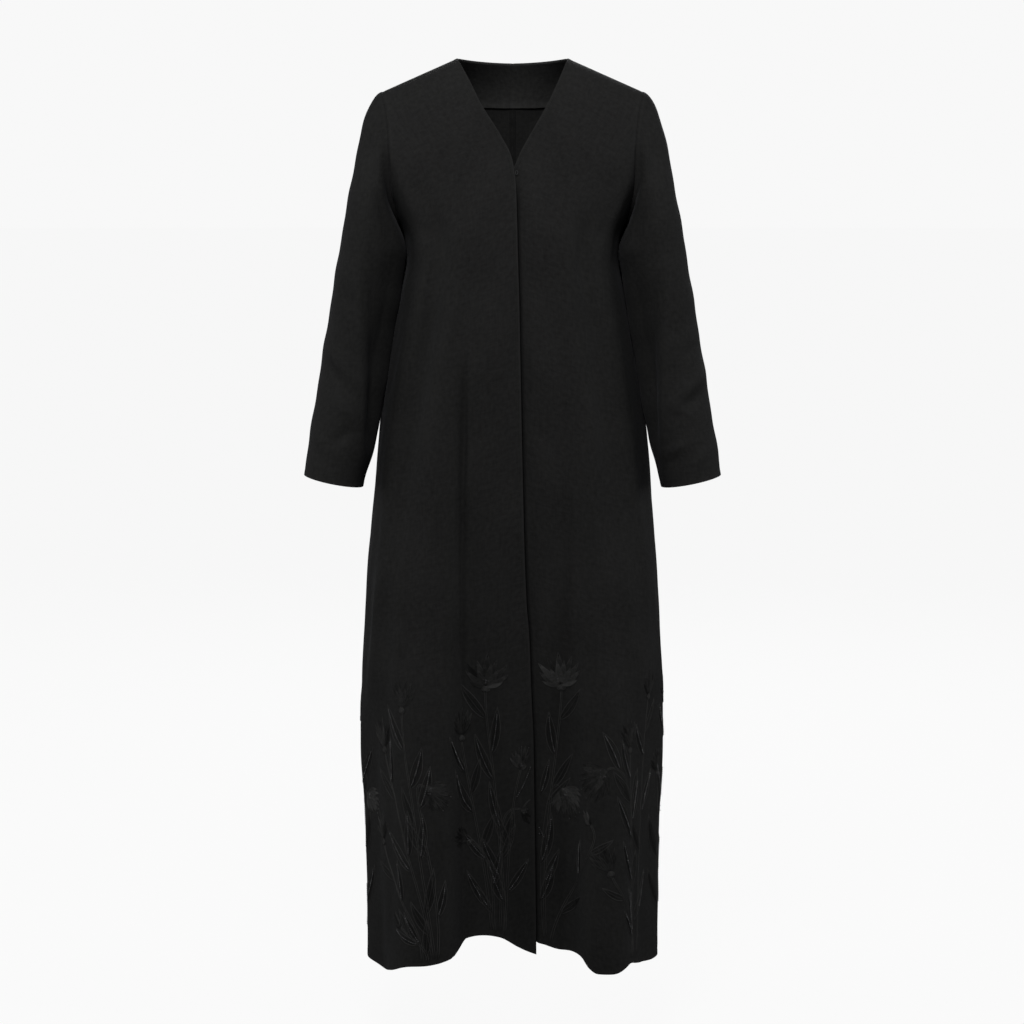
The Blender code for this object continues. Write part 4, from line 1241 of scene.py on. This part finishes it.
def allowances(name, material):
    """The pressed-open allowances of the centre back seam, two narrow strips inside the back panels."""
    parts = []
    for side in ("right", "left"):
        points, normals, sign = all_grids()["back_" + side]
        rows = slice(ALLOWANCE_TOP_ROW, points.shape[0] - 3)
        arc = run_along(points, 1)
        cols = [np.argmin(np.abs(arc[ALLOWANCE_ROW] - wide)) for wide in ALLOWANCE_STEPS]
        picked = points[rows][:, cols] - normals[rows][:, cols] * ALLOWANCE_IN
        quads = grid_quads(*picked.shape[:2], -sign)
        lengths = grid_lengths(picked).reshape(-1, 2)
        parts.append((picked.reshape(-1, 3), quads, lengths, np.zeros(len(lengths))))
    points, quads, lengths, tone_and_painted_sheen = joined(parts)
    return new_piece(name, points, quads, lengths, material, tone_and_painted_sheen)


# Heights, angles and cloth lengths at which the two arc tables are worked out
ARC_HEIGHTS = np.linspace(-0.84, -1.44, 61)
ARC_ANGLES = np.radians(np.linspace(-216.0, 216.0, 865))
ARC_PLACES = np.linspace(-0.90, 0.90, 901)


def bilinear(table, row, across):
    """A table read between its rows and columns, in parts of the four nearest cells."""
    row = np.clip(row, 0.0, table.shape[0] - 1.001)
    across = np.clip(across, 0.0, table.shape[1] - 1.001)
    i, j = row.astype(int), across.astype(int)
    s, t = row - i, across - j
    low = table[i, j] * (1 - t) + table[i, j + 1] * t
    high = table[i + 1, j] * (1 - t) + table[i + 1, j + 1] * t
    return low * (1 - s) + high * s


@functools.cache
def arc_tables():
    """Cloth length from the front centre at each height and angle, and the angle at each such length."""
    points = body_point(ARC_ANGLES[None, :], ARC_HEIGHTS[:, None])
    run = run_along(points, 1)
    run = run - run[:, [len(ARC_ANGLES) // 2]]
    angles = np.stack([np.interp(ARC_PLACES, line, ARC_ANGLES) for line in run])
    return run, angles


def height_row(z):
    """Row of the arc tables for a height."""
    return (z - ARC_HEIGHTS[0]) / (ARC_HEIGHTS[1] - ARC_HEIGHTS[0])


def arc_at(degrees, z):
    """Cloth length from the front centre at an angle and a height."""
    z = np.asarray(z, float)
    across = (np.radians(degrees) - ARC_ANGLES[0]) / (ARC_ANGLES[1] - ARC_ANGLES[0]) + 0 * z
    return bilinear(arc_tables()[0], height_row(z), across)


def angle_at(arc, z):
    """Angle at a cloth length from the front centre and a height."""
    across = (arc - ARC_PLACES[0]) / (ARC_PLACES[1] - ARC_PLACES[0])
    return bilinear(arc_tables()[1], height_row(z), across)


def on_cloth(arc, z, under):
    """Points of the cloth and its outward normals at lengths and heights; under is for the under front."""
    theta = angle_at(arc, z)

    def spot(angle, height):
        """A point of the cloth at an angle and a height."""
        inset = lap_inset(column(SECTION, 1, height) * np.sin(angle), height) if under else 0.0
        return body_point(angle, height, inset)

    along = spot(theta + 0.004, z) - spot(theta - 0.004, z)
    upward = spot(theta, z + 0.001) - spot(theta, z - 0.001)
    return spot(theta, z), unit(np.cross(along, upward))


def petal_point(length, width, lean, bend, t, lane):
    """A place on a petal or leaf: up its evenly turning middle line by t, and out by the lane's share.

    The half width is a product of powers of the way up and the way left, 1 at its widest.
    """
    rise, fall = 0.80, 1.10
    peak = rise / (rise + fall)
    bulge = (t / peak) ** rise * ((1 - t) / (1 - peak)) ** fall
    middle = lean + bend * t / 2
    turn = lean + bend * t
    out = lane * width * bulge
    return np.stack([length * t * np.sin(middle) + out * np.cos(turn),
                     length * t * np.cos(middle) - out * np.sin(turn)], -1)


def lanes_of(shape, lanes, first, last, count):
    """Strokes up a petal, one for each lane."""
    t = np.linspace(first, last, count)[None, :]
    return petal_point(*shape, t, np.asarray(lanes, float)[:, None])


def pad_of(shape):
    """The filled face of a petal: nine places up it by seven across."""
    t = np.linspace(0.02, 0.98, 9)[:, None]
    return petal_point(*shape, t, np.linspace(-1.0, 1.0, 7)[None, :])


def slanting(shape, starts, rise, first, last):
    """Short strokes from places up a petal, each slanting out between two lanes, on both of its sides."""
    t = starts[:, None] + np.linspace(0.0, rise, 4)[None, :]
    lane = np.linspace(first, last, 4)[None, :] + 0 * t
    return np.concatenate([petal_point(*shape, t, -lane), petal_point(*shape, t, lane)])


class Needlework:
    """Strokes, filled petals and beads of one panel, in cloth length and height."""

    def __init__(self):
        self.strokes = {}
        self.pads = []
        self.beads = []

    def stroke(self, lines, radius, lift=0.0, tone=0.6):
        """Keeps strokes of one length together, each with its radius, lift and tone."""
        store = self.strokes.setdefault(lines.shape[1], [])
        store.append((lines,) + tuple(np.full(len(lines), value) for value in (radius, lift, tone)))

    def pad(self, grid, height, lift, tone):
        """Keeps a filled face with its height, lift and tone."""
        self.pads.append((grid[None], np.array([height]), np.array([lift]), np.array([tone])))

    def bead(self, places, radius, tone):
        """Keeps beads with their radius and tone, 0 jet to 1 silvered."""
        count = len(places)
        self.beads.append((places, np.full(count, radius), np.broadcast_to(tone, (count,))))


def petal(work, move, shape, lanes, lift, tone):
    """One petal: its dark filled face, two outlines and a stroke up each lane."""
    work.pad(move(pad_of(shape)), PAD_HEIGHT, lift, 0.12 * tone)
    work.stroke(move(lanes_of(shape, (-1.0, 1.0), 0.0, 1.0, 9)), OUTLINE_RADIUS, lift, 0.10 + 0.75 * tone)
    work.stroke(move(lanes_of(shape, lanes, 0.08, 0.88, 9)), VEIN_RADIUS, lift + VEIN_LIFT, tone)


def mover(size, lean, arc, z):
    """A function that turns, scales and moves a motif's places to its foot on the cloth."""
    cosine, sine = math.cos(lean), math.sin(lean)

    def move(places):
        """Turned, scaled and moved places."""
        u, v = places[..., 0] * size, places[..., 1] * size
        return np.stack([arc + u * cosine + v * sine, z - u * sine + v * cosine], -1)

    return move


def flower(work, kind, size, lean, arc, z, rng, extra):
    """A flower head of a kind: its petals in layers, then its cup and the beads at its heart."""
    base = CUP_TOP[kind]
    direction = np.array([math.sin(lean), math.cos(lean)])
    top = np.array([arc, z]) + direction * base * size
    for petal_lean, length, width, bend, layer in PETALS[kind]:
        sway = rng.uniform(-3.0, 3.0)
        stretch = rng.uniform(0.94, 1.06)
        shape = (length * stretch, width, math.radians(petal_lean + sway), math.radians(bend))
        foot = top if layer < 2 else np.array([arc, z])
        move = mover(size, lean, *foot)
        tone = float(np.clip(rng.normal(TONE[kind] + extra, 0.15), 0.0, 1.0))
        petal(work, move, shape, LANES[kind], LAYER_LIFT * layer, tone)
    move = mover(size, lean, arc, z)
    if base > 0.05:
        cup = (base * 1.12, CUP_WIDE[kind], 0.0, 0.0)
        work.pad(move(pad_of(cup)), PAD_HEIGHT * 1.5, CUP_LIFT, TONE[kind] * 0.6)
        work.stroke(move(lanes_of(cup, (-1.0, 1.0), 0.0, 1.0, 9)), OUTLINE_RADIUS, CUP_LIFT)
        lines = slanting(cup, np.linspace(0.10, 0.62, 5), 0.30, -0.92, 0.92)
        work.stroke(move(lines), VEIN_RADIUS, CUP_STITCH_LIFT)
    if kind in ("open", "bell"):
        spots = rng.uniform(-0.13, 0.13, (HEART_BEADS, 2)) * [1.0, 0.6] + [0.0, base + 0.16]
        work.bead(move(spots), BEAD_RADIUS * 0.8, (rng.random(HEART_BEADS) < 0.25) * 1.0)
    if kind == "bell":
        for sway in (-0.30, 0.02, 0.28):
            thread = (1.06, 0.02, sway, 0.0)
            work.stroke(move(lanes_of(thread, (0.0,), 0.35, 0.98, 4)), VEIN_RADIUS, TASSEL_LIFT)
            work.bead(move(petal_point(*thread, np.array([1.0]), 0.0)), BEAD_RADIUS * 0.9, 0.0)


def leaf(work, move, length, width, lean, bend, beaded):
    """A long leaf: dark face, outline, midrib, slanting side stitches and, on some, a row of beads."""
    shape = (length, width, lean, bend)
    work.pad(move(pad_of(shape)), PAD_HEIGHT * 0.6, 0.0, LEAF_TONE)
    work.stroke(move(lanes_of(shape, (-1.0, 1.0), 0.0, 1.0, 9)), OUTLINE_RADIUS, 0.0, LEAF_EDGE_TONE)
    work.stroke(move(lanes_of(shape, (0.0,), 0.0, 0.96, 9)), OUTLINE_RADIUS, MIDRIB_LIFT, MIDRIB_TONE)
    lines = slanting(shape, np.linspace(0.10, 0.72, 9), 0.15, 0.08, 0.80)
    work.stroke(move(lines), VEIN_RADIUS * 0.8, 0.0001, LEAF_STITCH_TONE)
    if beaded:
        count = int(length * 0.76 / BEAD_PITCH)
        t = np.linspace(0.12, 0.88, count)
        tone = (np.arange(count) % 5 < 3) * 1.0
        work.bead(move(petal_point(*shape, t, 0.0)), BEAD_RADIUS, tone)


def bezier(corners, t):
    """Cubic through four corners, and its direction."""
    a, b, c, d = (np.asarray(corner, float) for corner in corners)
    t = t[:, None]
    way = 3 * (1 - t) ** 2 * (b - a) + 6 * t * (1 - t) * (c - b) + 3 * t**2 * (d - c)
    return cubic(t, a, b, c, d), unit(way)


def panel_of(degrees, z):
    """Name of the panel that carries an angle."""
    if abs(degrees) > 90.0:
        return "back_left" if degrees > 0 else "back_right"
    edge = math.degrees(math.asin(float(column(FRONT_EDGE, 1, z)) / float(column(SECTION, 1, z))))
    return "front_left" if degrees > edge else "front_right"


def hem_of(name, degrees):
    """Height of a panel's hem at an angle."""
    if name == "front_right":
        return hem_height(np.radians(degrees), HEM_UPPER)
    if name == "front_left":
        return hem_height(np.radians(degrees), HEM_UNDER)
    return hem_height(np.radians(degrees % 360.0), HEM_BACK)


def leaves_along(work, corners, number, rng):
    """Leaves on both sides of a stem in turn, at shares of its length."""
    rise = corners[3][1] - corners[0][1]
    shares = TALL_LEAF_PLACES if rise > TALL_STEM else LEAF_PLACES
    for turn, share in enumerate(shares):
        share = share + rng.uniform(-0.06, 0.06)
        foot, heading = bezier(corners, np.array([share]))
        aside = 1.0 if (turn + number) % 2 else -1.0
        spread_by = math.radians(rng.uniform(*LEAF_SPREAD)) * aside
        tilt = math.atan2(heading[0, 0], heading[0, 1]) + spread_by
        length = rng.uniform(*LEAF_LENGTH) * (0.8 if rise < SHORT_STEM else 1.0)
        width = length * rng.uniform(*LEAF_WIDTH)
        bend = -aside * math.radians(rng.uniform(*LEAF_BEND))
        beaded = (turn + 2 * number) % 5 in (0, 2, 3)
        leaf(work, mover(1.0, 0.0, *foot[0]), length, width, tilt, bend, beaded)


def embroidery():
    """All plants of the border: each flower, its double stem from the hem and its leaves."""
    rng = np.random.default_rng(LEAF_SEED)
    works = {name: Needlework() for name in ("front_right", "front_left", "back_right", "back_left")}
    for number, (kind, degrees, z, size, lean, root, bow) in enumerate(FLOWERS):
        whole = 360.0 if degrees > 180.0 else 0.0
        degrees, root = degrees - whole, root - whole
        name = panel_of(degrees, z)
        work = works[name]
        arc = float(arc_at(degrees, z))
        lean = math.radians(lean)
        flower(work, kind, size, lean, arc, z, rng, LIGHTER if number % 10 == 1 else 0.0)
        low = float(hem_of(name, root)) + ROOT_RISE
        start = np.array([float(arc_at(root, low)), low])
        end = np.array([arc, z])
        rise = end[1] - start[1]
        third = end - np.array([math.sin(lean), math.cos(lean)]) * min(0.30 * rise, 0.055)
        corners = (start, start + np.array([bow, 0.45 * rise]), third, end)
        place, way = bezier(corners, np.linspace(0.0, 1.0, 41))
        side = np.stack([way[:, 1], -way[:, 0]], -1)
        gap = STEM_GAP * np.linspace(1.2, 0.8, 41)[:, None]
        work.stroke(np.stack([place - side * gap, place + side * gap]), STEM_RADIUS, 0.0, STEM_TONE)
        leaves_along(work, corners, number, rng)
    return works


def inside_panel(name, places):
    """Which strokes lie wholly on their panel, clear of its front edge and hem."""
    arc, z = places[..., 0], places[..., 1]
    degrees = np.degrees(angle_at(arc, z))
    fits = z > hem_of(name, degrees) + HEM_CLEAR
    if name.startswith("front"):
        edge = np.degrees(np.arcsin(column(FRONT_EDGE, 1, z) / column(SECTION, 1, z)))
        upper = name == "front_right"
        fits &= degrees < edge - UPPER_EDGE_CLEAR if upper else degrees > edge + UNDER_EDGE_CLEAR
    return fits.reshape(len(places), -1).all(axis=1)


def tubes(points, normals, radius, lift, tone):
    """Thin closed tubes along paths: a four-cornered ring at each point, flattened a little, with ends."""
    count, steps = points.shape[:2]
    along = unit(np.gradient(points, axis=1))
    side = unit(np.cross(normals, along))
    taper = np.ones(steps)
    taper[[0, -1]] = 0.30
    wide = radius[:, None] * taper
    centre = points + normals * (lift[:, None] + 0.45 * wide)[..., None]
    ring = np.stack([centre + side * wide[..., None], centre + normals * (0.85 * wide)[..., None],
                     centre - side * wide[..., None], centre - normals * (0.85 * wide)[..., None]], 2)
    index = np.arange(count * steps * 4).reshape(count, steps, 4)
    turned = np.roll(index, -1, axis=2)
    walls = np.stack([index[:, :-1], turned[:, :-1], turned[:, 1:], index[:, 1:]], -1).reshape(-1, 4)
    ends = np.concatenate([index[:, 0, ::-1], index[:, -1]])
    along = np.broadcast_to(run_along(points, 1)[..., None], index.shape)
    lengths = np.stack([along, np.broadcast_to(np.arange(4) * 0.0004, index.shape)], -1)
    return ring.reshape(-1, 3), np.vstack([walls, ends]), lengths.reshape(-1, 2), np.repeat(tone, steps * 4)


def filled(points, normals, height, lift, tone):
    """Crowned satin faces: raised by a parabola across each petal, with the rim sunk into the cloth."""
    count, rows, cols = points.shape[:3]
    lane = np.linspace(-1.0, 1.0, cols)[None, None, :]
    up = np.linspace(0.0, 1.0, rows)[None, :, None]
    crown = (1 - lane**2) * np.clip(9 * up * (1 - up), 0, 1)
    raised = lift[:, None, None] * (np.abs(lane) < 0.99) + height[:, None, None] * crown - 0.00012
    shaped = points + normals * raised[..., None]
    quads = cells((count, rows, cols))
    flat = shaped.reshape(-1, 3)
    face = np.cross(flat[quads[:, 2]] - flat[quads[:, 0]], flat[quads[:, 3]] - flat[quads[:, 1]])
    wrong = np.sum(face * normals.reshape(-1, 3)[quads[:, 0]], axis=1) < 0
    quads[wrong] = quads[wrong][:, ::-1]
    lengths = np.stack([run_along(points, 2), run_along(points, 1)], -1).reshape(-1, 2)
    return flat, quads, lengths, np.repeat(tone, rows * cols)


def joined(parts):
    """One set of points, faces, weave coordinates and tones from several."""
    starts = np.cumsum([0] + [len(part[0]) for part in parts[:-1]])
    points = np.vstack([part[0] for part in parts])
    quads = np.vstack([part[1] + start for part, start in zip(parts, starts)])
    return points, quads, np.vstack([part[2] for part in parts]), np.concatenate([part[3] for part in parts])


def sewn_strokes(name, work):
    """Tubes for all strokes of a panel."""
    parts = []
    for store in work.strokes.values():
        lines, radius, lift, tone = (np.concatenate(each) for each in zip(*store))
        keep = inside_panel(name, lines)
        points, normals = on_cloth(lines[keep][..., 0], lines[keep][..., 1], name == "front_left")
        parts.append(tubes(points, normals, radius[keep], lift[keep], tone[keep]))
    return joined(parts)


def sewn_pads(name, work):
    """Satin faces for all petals of a panel."""
    grids, height, lift, tone = (np.concatenate(each) for each in zip(*work.pads))
    keep = inside_panel(name, grids)
    points, normals = on_cloth(grids[keep][..., 0], grids[keep][..., 1], name == "front_left")
    return filled(points, normals, height[keep], lift[keep], tone[keep])


def bead_shape():
    """A small faceted ball: a cube of 2 by 2 squares a side, blown up to a sphere."""
    one, two = np.meshgrid([-1.0, 0.0, 1.0], [-1.0, 0.0, 1.0], indexing="ij")
    sides = []
    for axis in range(3):
        for end in (-1.0, 1.0):
            face = [one, two]
            face.insert(axis, np.full(one.shape, end))
            sides.append((np.stack(face, -1).reshape(-1, 3), end * (1 if axis != 1 else -1)))
    points = np.vstack([side[0] for side in sides])
    quads = np.vstack([grid_quads(3, 3, -side[1]) + 9 * n for n, side in enumerate(sides)])
    kept, number = np.unique(points, axis=0, return_inverse=True)
    return unit(kept), number.ravel()[quads]


def sewn_beads(name, work, rng):
    """All beads of a panel, each a faceted ball turned its own way and set on the cloth."""
    places, radius, tone = (np.concatenate(each) for each in zip(*work.beads))
    keep = inside_panel(name, places[:, None])
    places, radius, tone = places[keep], radius[keep], tone[keep]
    points, normals = on_cloth(places[:, 0], places[:, 1], name == "front_left")
    side = unit(np.cross(normals, rng.normal(size=normals.shape)))
    third = np.cross(normals, side)
    shape, quads = bead_shape()
    frame_of = np.stack([side, third, normals], 1) * radius[:, None, None]
    centre = points + normals * (0.0006 + 0.75 * radius)[:, None]
    balls = centre[:, None] + np.einsum("vk,nkd->nvd", shape * [1.0, 1.0, 0.88], frame_of)
    count = len(balls)
    faces = (np.arange(count) * len(shape))[:, None, None] + quads[None]
    lengths = np.zeros((count * len(shape), 2))
    return balls.reshape(-1, 3), faces.reshape(-1, 4), lengths, np.repeat(tone, len(shape))


def running_stitches(path, normals):
    """Short stitches along a path: each goes in at both ends and lies proud in the middle."""
    run = run_along(path, 0)
    start = np.arange(STITCH_PITCH, run[-1] - STITCH_PITCH, STITCH_PITCH)
    at = start[:, None] + np.linspace(0.0, STITCH, len(STITCH_RISE))[None, :]
    points = np.stack([np.interp(at, run, path[:, k]) for k in range(3)], -1)
    lean = unit(np.stack([np.interp(at, run, normals[:, k]) for k in range(3)], -1))
    points = points + lean * np.array(STITCH_RISE)[None, :, None]
    count = len(start)
    return tubes(points, lean, np.full(count, STITCH_RADIUS), np.zeros(count), np.full(count, 0.4))


def stitch_lines():
    """Rows of topstitching beside the front edges, hems, cuffs and back neck."""
    parts = []
    for name, (points, normals, _) in all_grids().items():
        shaped, _ = finished_grid(name, points, normals)
        low = run_back(points, 0)
        row = np.argmin(np.abs(low[:, points.shape[1] // 2] - HEM_BAND))
        parts.append(running_stitches(shaped[row], normals[row]))
        if name.startswith("front"):
            near = run_along(points, 1)
            across = np.argmin(np.abs(near[points.shape[0] // 2] - HEM_BAND))
            parts.append(running_stitches(shaped[:, across], normals[:, across]))
        if name.startswith("back"):
            row = np.argmin(np.abs(run_along(points, 0)[:, 4] - HEM_BAND))
            neck = np.abs(points[row, :, 0]) < NECK_HALF - 0.004
            parts.append(running_stitches(shaped[row, neck], normals[row, neck]))
    return joined(parts)


class AbayaCloth(bpy.types.PropertyGroup):
    """Sizes and colours of the cloth, threads and beads."""

    thickness: bpy.props.FloatProperty(
        name="Thickness", description="Thickness of the crepe", default=0.0009, min=0.0004, max=0.0018,
        unit="LENGTH"
    )
    colour: bpy.props.FloatVectorProperty(
        name="Cloth", description="Colour of the crepe", subtype="COLOR", default=(0.0112, 0.0112, 0.0110)
    )
    thread: bpy.props.FloatVectorProperty(
        name="Thread", description="Colour of the embroidery thread", subtype="COLOR",
        default=(0.0160, 0.0160, 0.0157)
    )


class AbayaStage(bpy.types.PropertyGroup):
    """Sizes and strengths of the stage."""

    floor_z: bpy.props.FloatProperty(
        name="Floor", description="Height of the floor", default=-1.56, unit="LENGTH"
    )
    ground: bpy.props.FloatVectorProperty(
        name="Ground", description="Colour of the floor", subtype="COLOR", default=(0.03, 0.03, 0.03)
    )
    glow: bpy.props.FloatProperty(name="Glow", description="Light that the floor lets through", default=0.925)
    surround: bpy.props.FloatProperty(
        name="Surround", description="Brightness seen behind the cloak", default=0.938
    )
    ambient: bpy.props.FloatProperty(
        name="Ambient", description="Strength of the soft light all round", default=0.15
    )


class ABAYA_OT_panels(bpy.types.Operator):
    """Make the two fronts and the two backs as sheets of crepe."""

    bl_idname = "abaya.panels"
    bl_label = "Fronts and backs"

    def execute(self, context):
        cloth = crepe("black_crepe", tuple(context.scene.abaya_cloth.colour))
        for name in ("front_right", "front_left", "back_right", "back_left"):
            sewn_panel(name, cloth)
        return {"FINISHED"}


class ABAYA_OT_sleeves(bpy.types.Operator):
    """Make the two set-in sleeves."""

    bl_idname = "abaya.sleeves"
    bl_label = "Sleeves"

    def execute(self, context):
        cloth = crepe("sleeve_crepe", tuple(context.scene.abaya_cloth.colour))
        for name in ("sleeve_right", "sleeve_left"):
            sewn_panel(name, cloth)
        return {"FINISHED"}


class ABAYA_OT_facing(bpy.types.Operator):
    """Make the back neck facing and the seam allowances below it."""

    bl_idname = "abaya.facing"
    bl_label = "Neck facing"

    def execute(self, context):
        colour = tuple(context.scene.abaya_cloth.colour)
        points, edge, sign = facing_grid()
        # The facing's crepe is a lighter copy of the cloth: painted light on the inside of the back
        cloth = crepe("facing_crepe_painted_light", tuple(c * FACING_LIGHT_SHARE for c in colour), 0.7)
        # Painted highlight along the facing's lower edge
        tone_and_painted_sheen = bell(edge, 0.0016)
        quads = grid_quads(*points.shape[:2], sign)
        piece = new_piece("cloth_back_neck_facing", points, quads, grid_lengths(points), cloth, tone_and_painted_sheen)
        thicken(piece, FACING_THICK)
        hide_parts("back_neck_facing")
        # The seam allowances' crepe is a darker copy of the cloth: painted shade
        inner = crepe("inner_crepe_painted_shade", tuple(c * INNER_SHADE_SHARE for c in colour))
        strips = allowances("seam_allowances", inner)
        thicken(strips, ALLOWANCE_THICK)
        return {"FINISHED"}


class ABAYA_OT_flowers(bpy.types.Operator):
    """Embroider the flowers, leaves and stems on the lower third, and sew on the beads."""

    bl_idname = "abaya.flowers"
    bl_label = "Flower border"

    def execute(self, context):
        colour = context.scene.abaya_cloth.thread
        dark, light = (tuple(c * share for c in colour) for share in FLOSS_SHARES)
        thread = floss("black_floss", dark, light, 0.50, TWIST_PITCH, 0.6)
        satin = floss("satin_stitch", dark, light, 0.42, SATIN_PITCH, 0.12)
        glass = bead_finish("beads", (0.012, 0.012, 0.013), (0.105, 0.105, 0.11))
        rng = np.random.default_rng(LEAF_SEED + 1)
        for name, work in embroidery().items():
            for kind, parts, finish, soft in (
                ("threads_", sewn_strokes(name, work), thread, True),
                ("petals_", sewn_pads(name, work), satin, True),
                ("beads_", sewn_beads(name, work, rng), glass, False),
            ):
                points, quads, lengths, tone = parts
                new_piece(kind + name, points, quads, lengths, finish, tone, soft)
        return {"FINISHED"}


class ABAYA_OT_stitching(bpy.types.Operator):
    """Sew the rows of topstitching and finish the neck hook."""

    bl_idname = "abaya.stitching"
    bl_label = "Topstitching and hook"

    def execute(self, context):
        colour = tuple(context.scene.abaya_cloth.thread)
        thread = floss("sewing_thread", tuple(c * 0.4 for c in colour), colour, 0.55, 0.0004, 0.6)
        points, quads, lengths, tone = stitch_lines()
        new_piece("topstitching", points, quads, lengths, thread, tone)
        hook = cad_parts["neck_hook"]
        hook.material_slots[0].material = wire_finish("hook_wire")
        return {"FINISHED"}


class ABAYA_OT_cuts(bpy.types.Operator):
    """Go through the flat cut of every piece of cloth, once all that is sewn to it is made; nothing is stated
    or kept.
    """

    bl_idname = "abaya.cuts"
    bl_label = "Flat cuts"

    def execute(self, context):
        for row in CUTS:
            declare_cut(*row)
        return {"FINISHED"}


def add_light(name, place, aim, size, power):
    """A square soft light that faces a point."""
    lamp = bpy.data.lights.new(name, "AREA")
    lamp.shape = "SQUARE"
    lamp.size = size
    lamp.energy = power
    made = placed(name, lamp)
    made.location = place
    away = np.array(place) - np.array(aim)
    flat = math.hypot(away[0], away[1])
    made.rotation_euler = (math.atan2(flat, away[2]), 0.0, math.atan2(away[1], away[0]) + math.pi / 2)


def floor_points(height):
    """A round floor: rings of growing radius around the cloak, level all over."""
    radius = np.array([0.001, 0.4, 0.9, 1.6, 2.6, 4.5, 8.0, 16.0, 40.0, 90.0])[:, None]
    turn = np.linspace(0.0, math.tau, 65)[None, :]
    return np.stack([radius * np.cos(turn), radius * np.sin(turn), height + 0 * radius * turn], -1)


def make_floor(look):
    """The pale floor: it glows by itself, and the cloak neither mirrors it nor is lit by it."""
    glow = (look.glow, look.glow, look.glow, 1.0)
    fixed = {"Specular_IOR_Level": 0.0, "Emission_Strength": 1.0, "Emission_Color": glow}
    material, shader, make = blank_material("pale_floor", **fixed)
    place = make.node("ShaderNodeTexCoord", None, None, 3)
    tone = make.noise(place, 3.0)
    ground = tuple(look.ground)
    base = make.mix(tone, tuple(c * 0.99 for c in ground) + (1.0,), ground + (1.0,))
    connect(material, shader, Base_Color=base, Roughness=0.85 + tone * 0.05)
    points = floor_points(look.floor_z)
    floor = placed("floor", plain_mesh("floor", points, grid_quads(*points.shape[:2], -1.0), material))
    floor.visible_diffuse = False
    floor.visible_glossy = False


def make_surround(look):
    """The world: nearly white to the camera, and a weaker soft light on the cloak."""
    world = bpy.data.worlds.new("surround")
    bpy.context.scene.world = world
    world.use_nodes = True
    sky = world.node_tree.nodes["Background"]
    sky.inputs["Color"].default_value = (1.0, 1.0, 1.0, 1.0)
    seen = Value(world.node_tree).node("ShaderNodeLightPath")
    strength = seen * (look.surround - look.ambient) + look.ambient
    world.node_tree.links.new(strength.socket, sky.inputs["Strength"])


def make_camera():
    """The camera that stands where the photo was taken from."""
    lens = bpy.data.cameras.new("camera")
    lens.sensor_width = 36.0
    lens.lens = LENS
    lens.clip_end = 300.0
    camera = placed("camera", lens)
    camera.location = CAMERA_PLACE
    camera.rotation_euler = (math.radians(90.0 - CAMERA_DOWN), 0.0, 0.0)
    bpy.context.scene.camera = camera


class ABAYA_OT_stage(bpy.types.Operator):
    """Make the floor, the white surround, the lights and the camera."""

    bl_idname = "abaya.stage"
    bl_label = "Stage"

    def execute(self, context):
        look = context.scene.abaya_stage
        make_floor(look)
        make_surround(look)
        for row in LIGHTS:
            add_light(row[0], row[1:4], row[4:7], row[7], row[8])
        make_camera()
        context.scene.view_settings.view_transform = "Standard"
        return {"FINISHED"}


class ABAYA_PT_sidebar(bpy.types.Panel):
    """Lists the cloak's pieces in the sidebar of the 3D view."""

    bl_idname = "ABAYA_PT_sidebar"
    bl_label = "Abaya cloak"
    bl_space_type = "VIEW_3D"
    bl_region_type = "UI"
    bl_category = "Abaya"

    def draw(self, context):
        layout = self.layout
        for group in (context.scene.abaya_cloth, context.scene.abaya_stage):
            box = layout.box()
            for name in group.__annotations__:
                box.prop(group, name)
        for operator in OPERATORS:
            layout.operator(operator.bl_idname)


GROUPS = (AbayaCloth, AbayaStage)
OPERATORS = (
    ABAYA_OT_stage, ABAYA_OT_panels, ABAYA_OT_sleeves, ABAYA_OT_facing, ABAYA_OT_flowers, ABAYA_OT_stitching,
    ABAYA_OT_cuts,
)
CLASSES = GROUPS + OPERATORS + (ABAYA_PT_sidebar,)


def register():
    """Adds the cloak's classes and its two groups of settings."""
    for made in CLASSES:
        bpy.utils.register_class(made)
    bpy.types.Scene.abaya_cloth = bpy.props.PointerProperty(type=AbayaCloth)
    bpy.types.Scene.abaya_stage = bpy.props.PointerProperty(type=AbayaStage)


def unregister():
    """Takes the cloak's classes and settings away again."""
    del bpy.types.Scene.abaya_cloth
    del bpy.types.Scene.abaya_stage
    for made in reversed(CLASSES):
        bpy.utils.unregister_class(made)


def main():
    """Registers the add-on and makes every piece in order."""
    register()
    for operator in OPERATORS:
        group, call = operator.bl_idname.split(".")
        getattr(getattr(bpy.ops, group), call)()


if __name__ == "__main__":
    main()
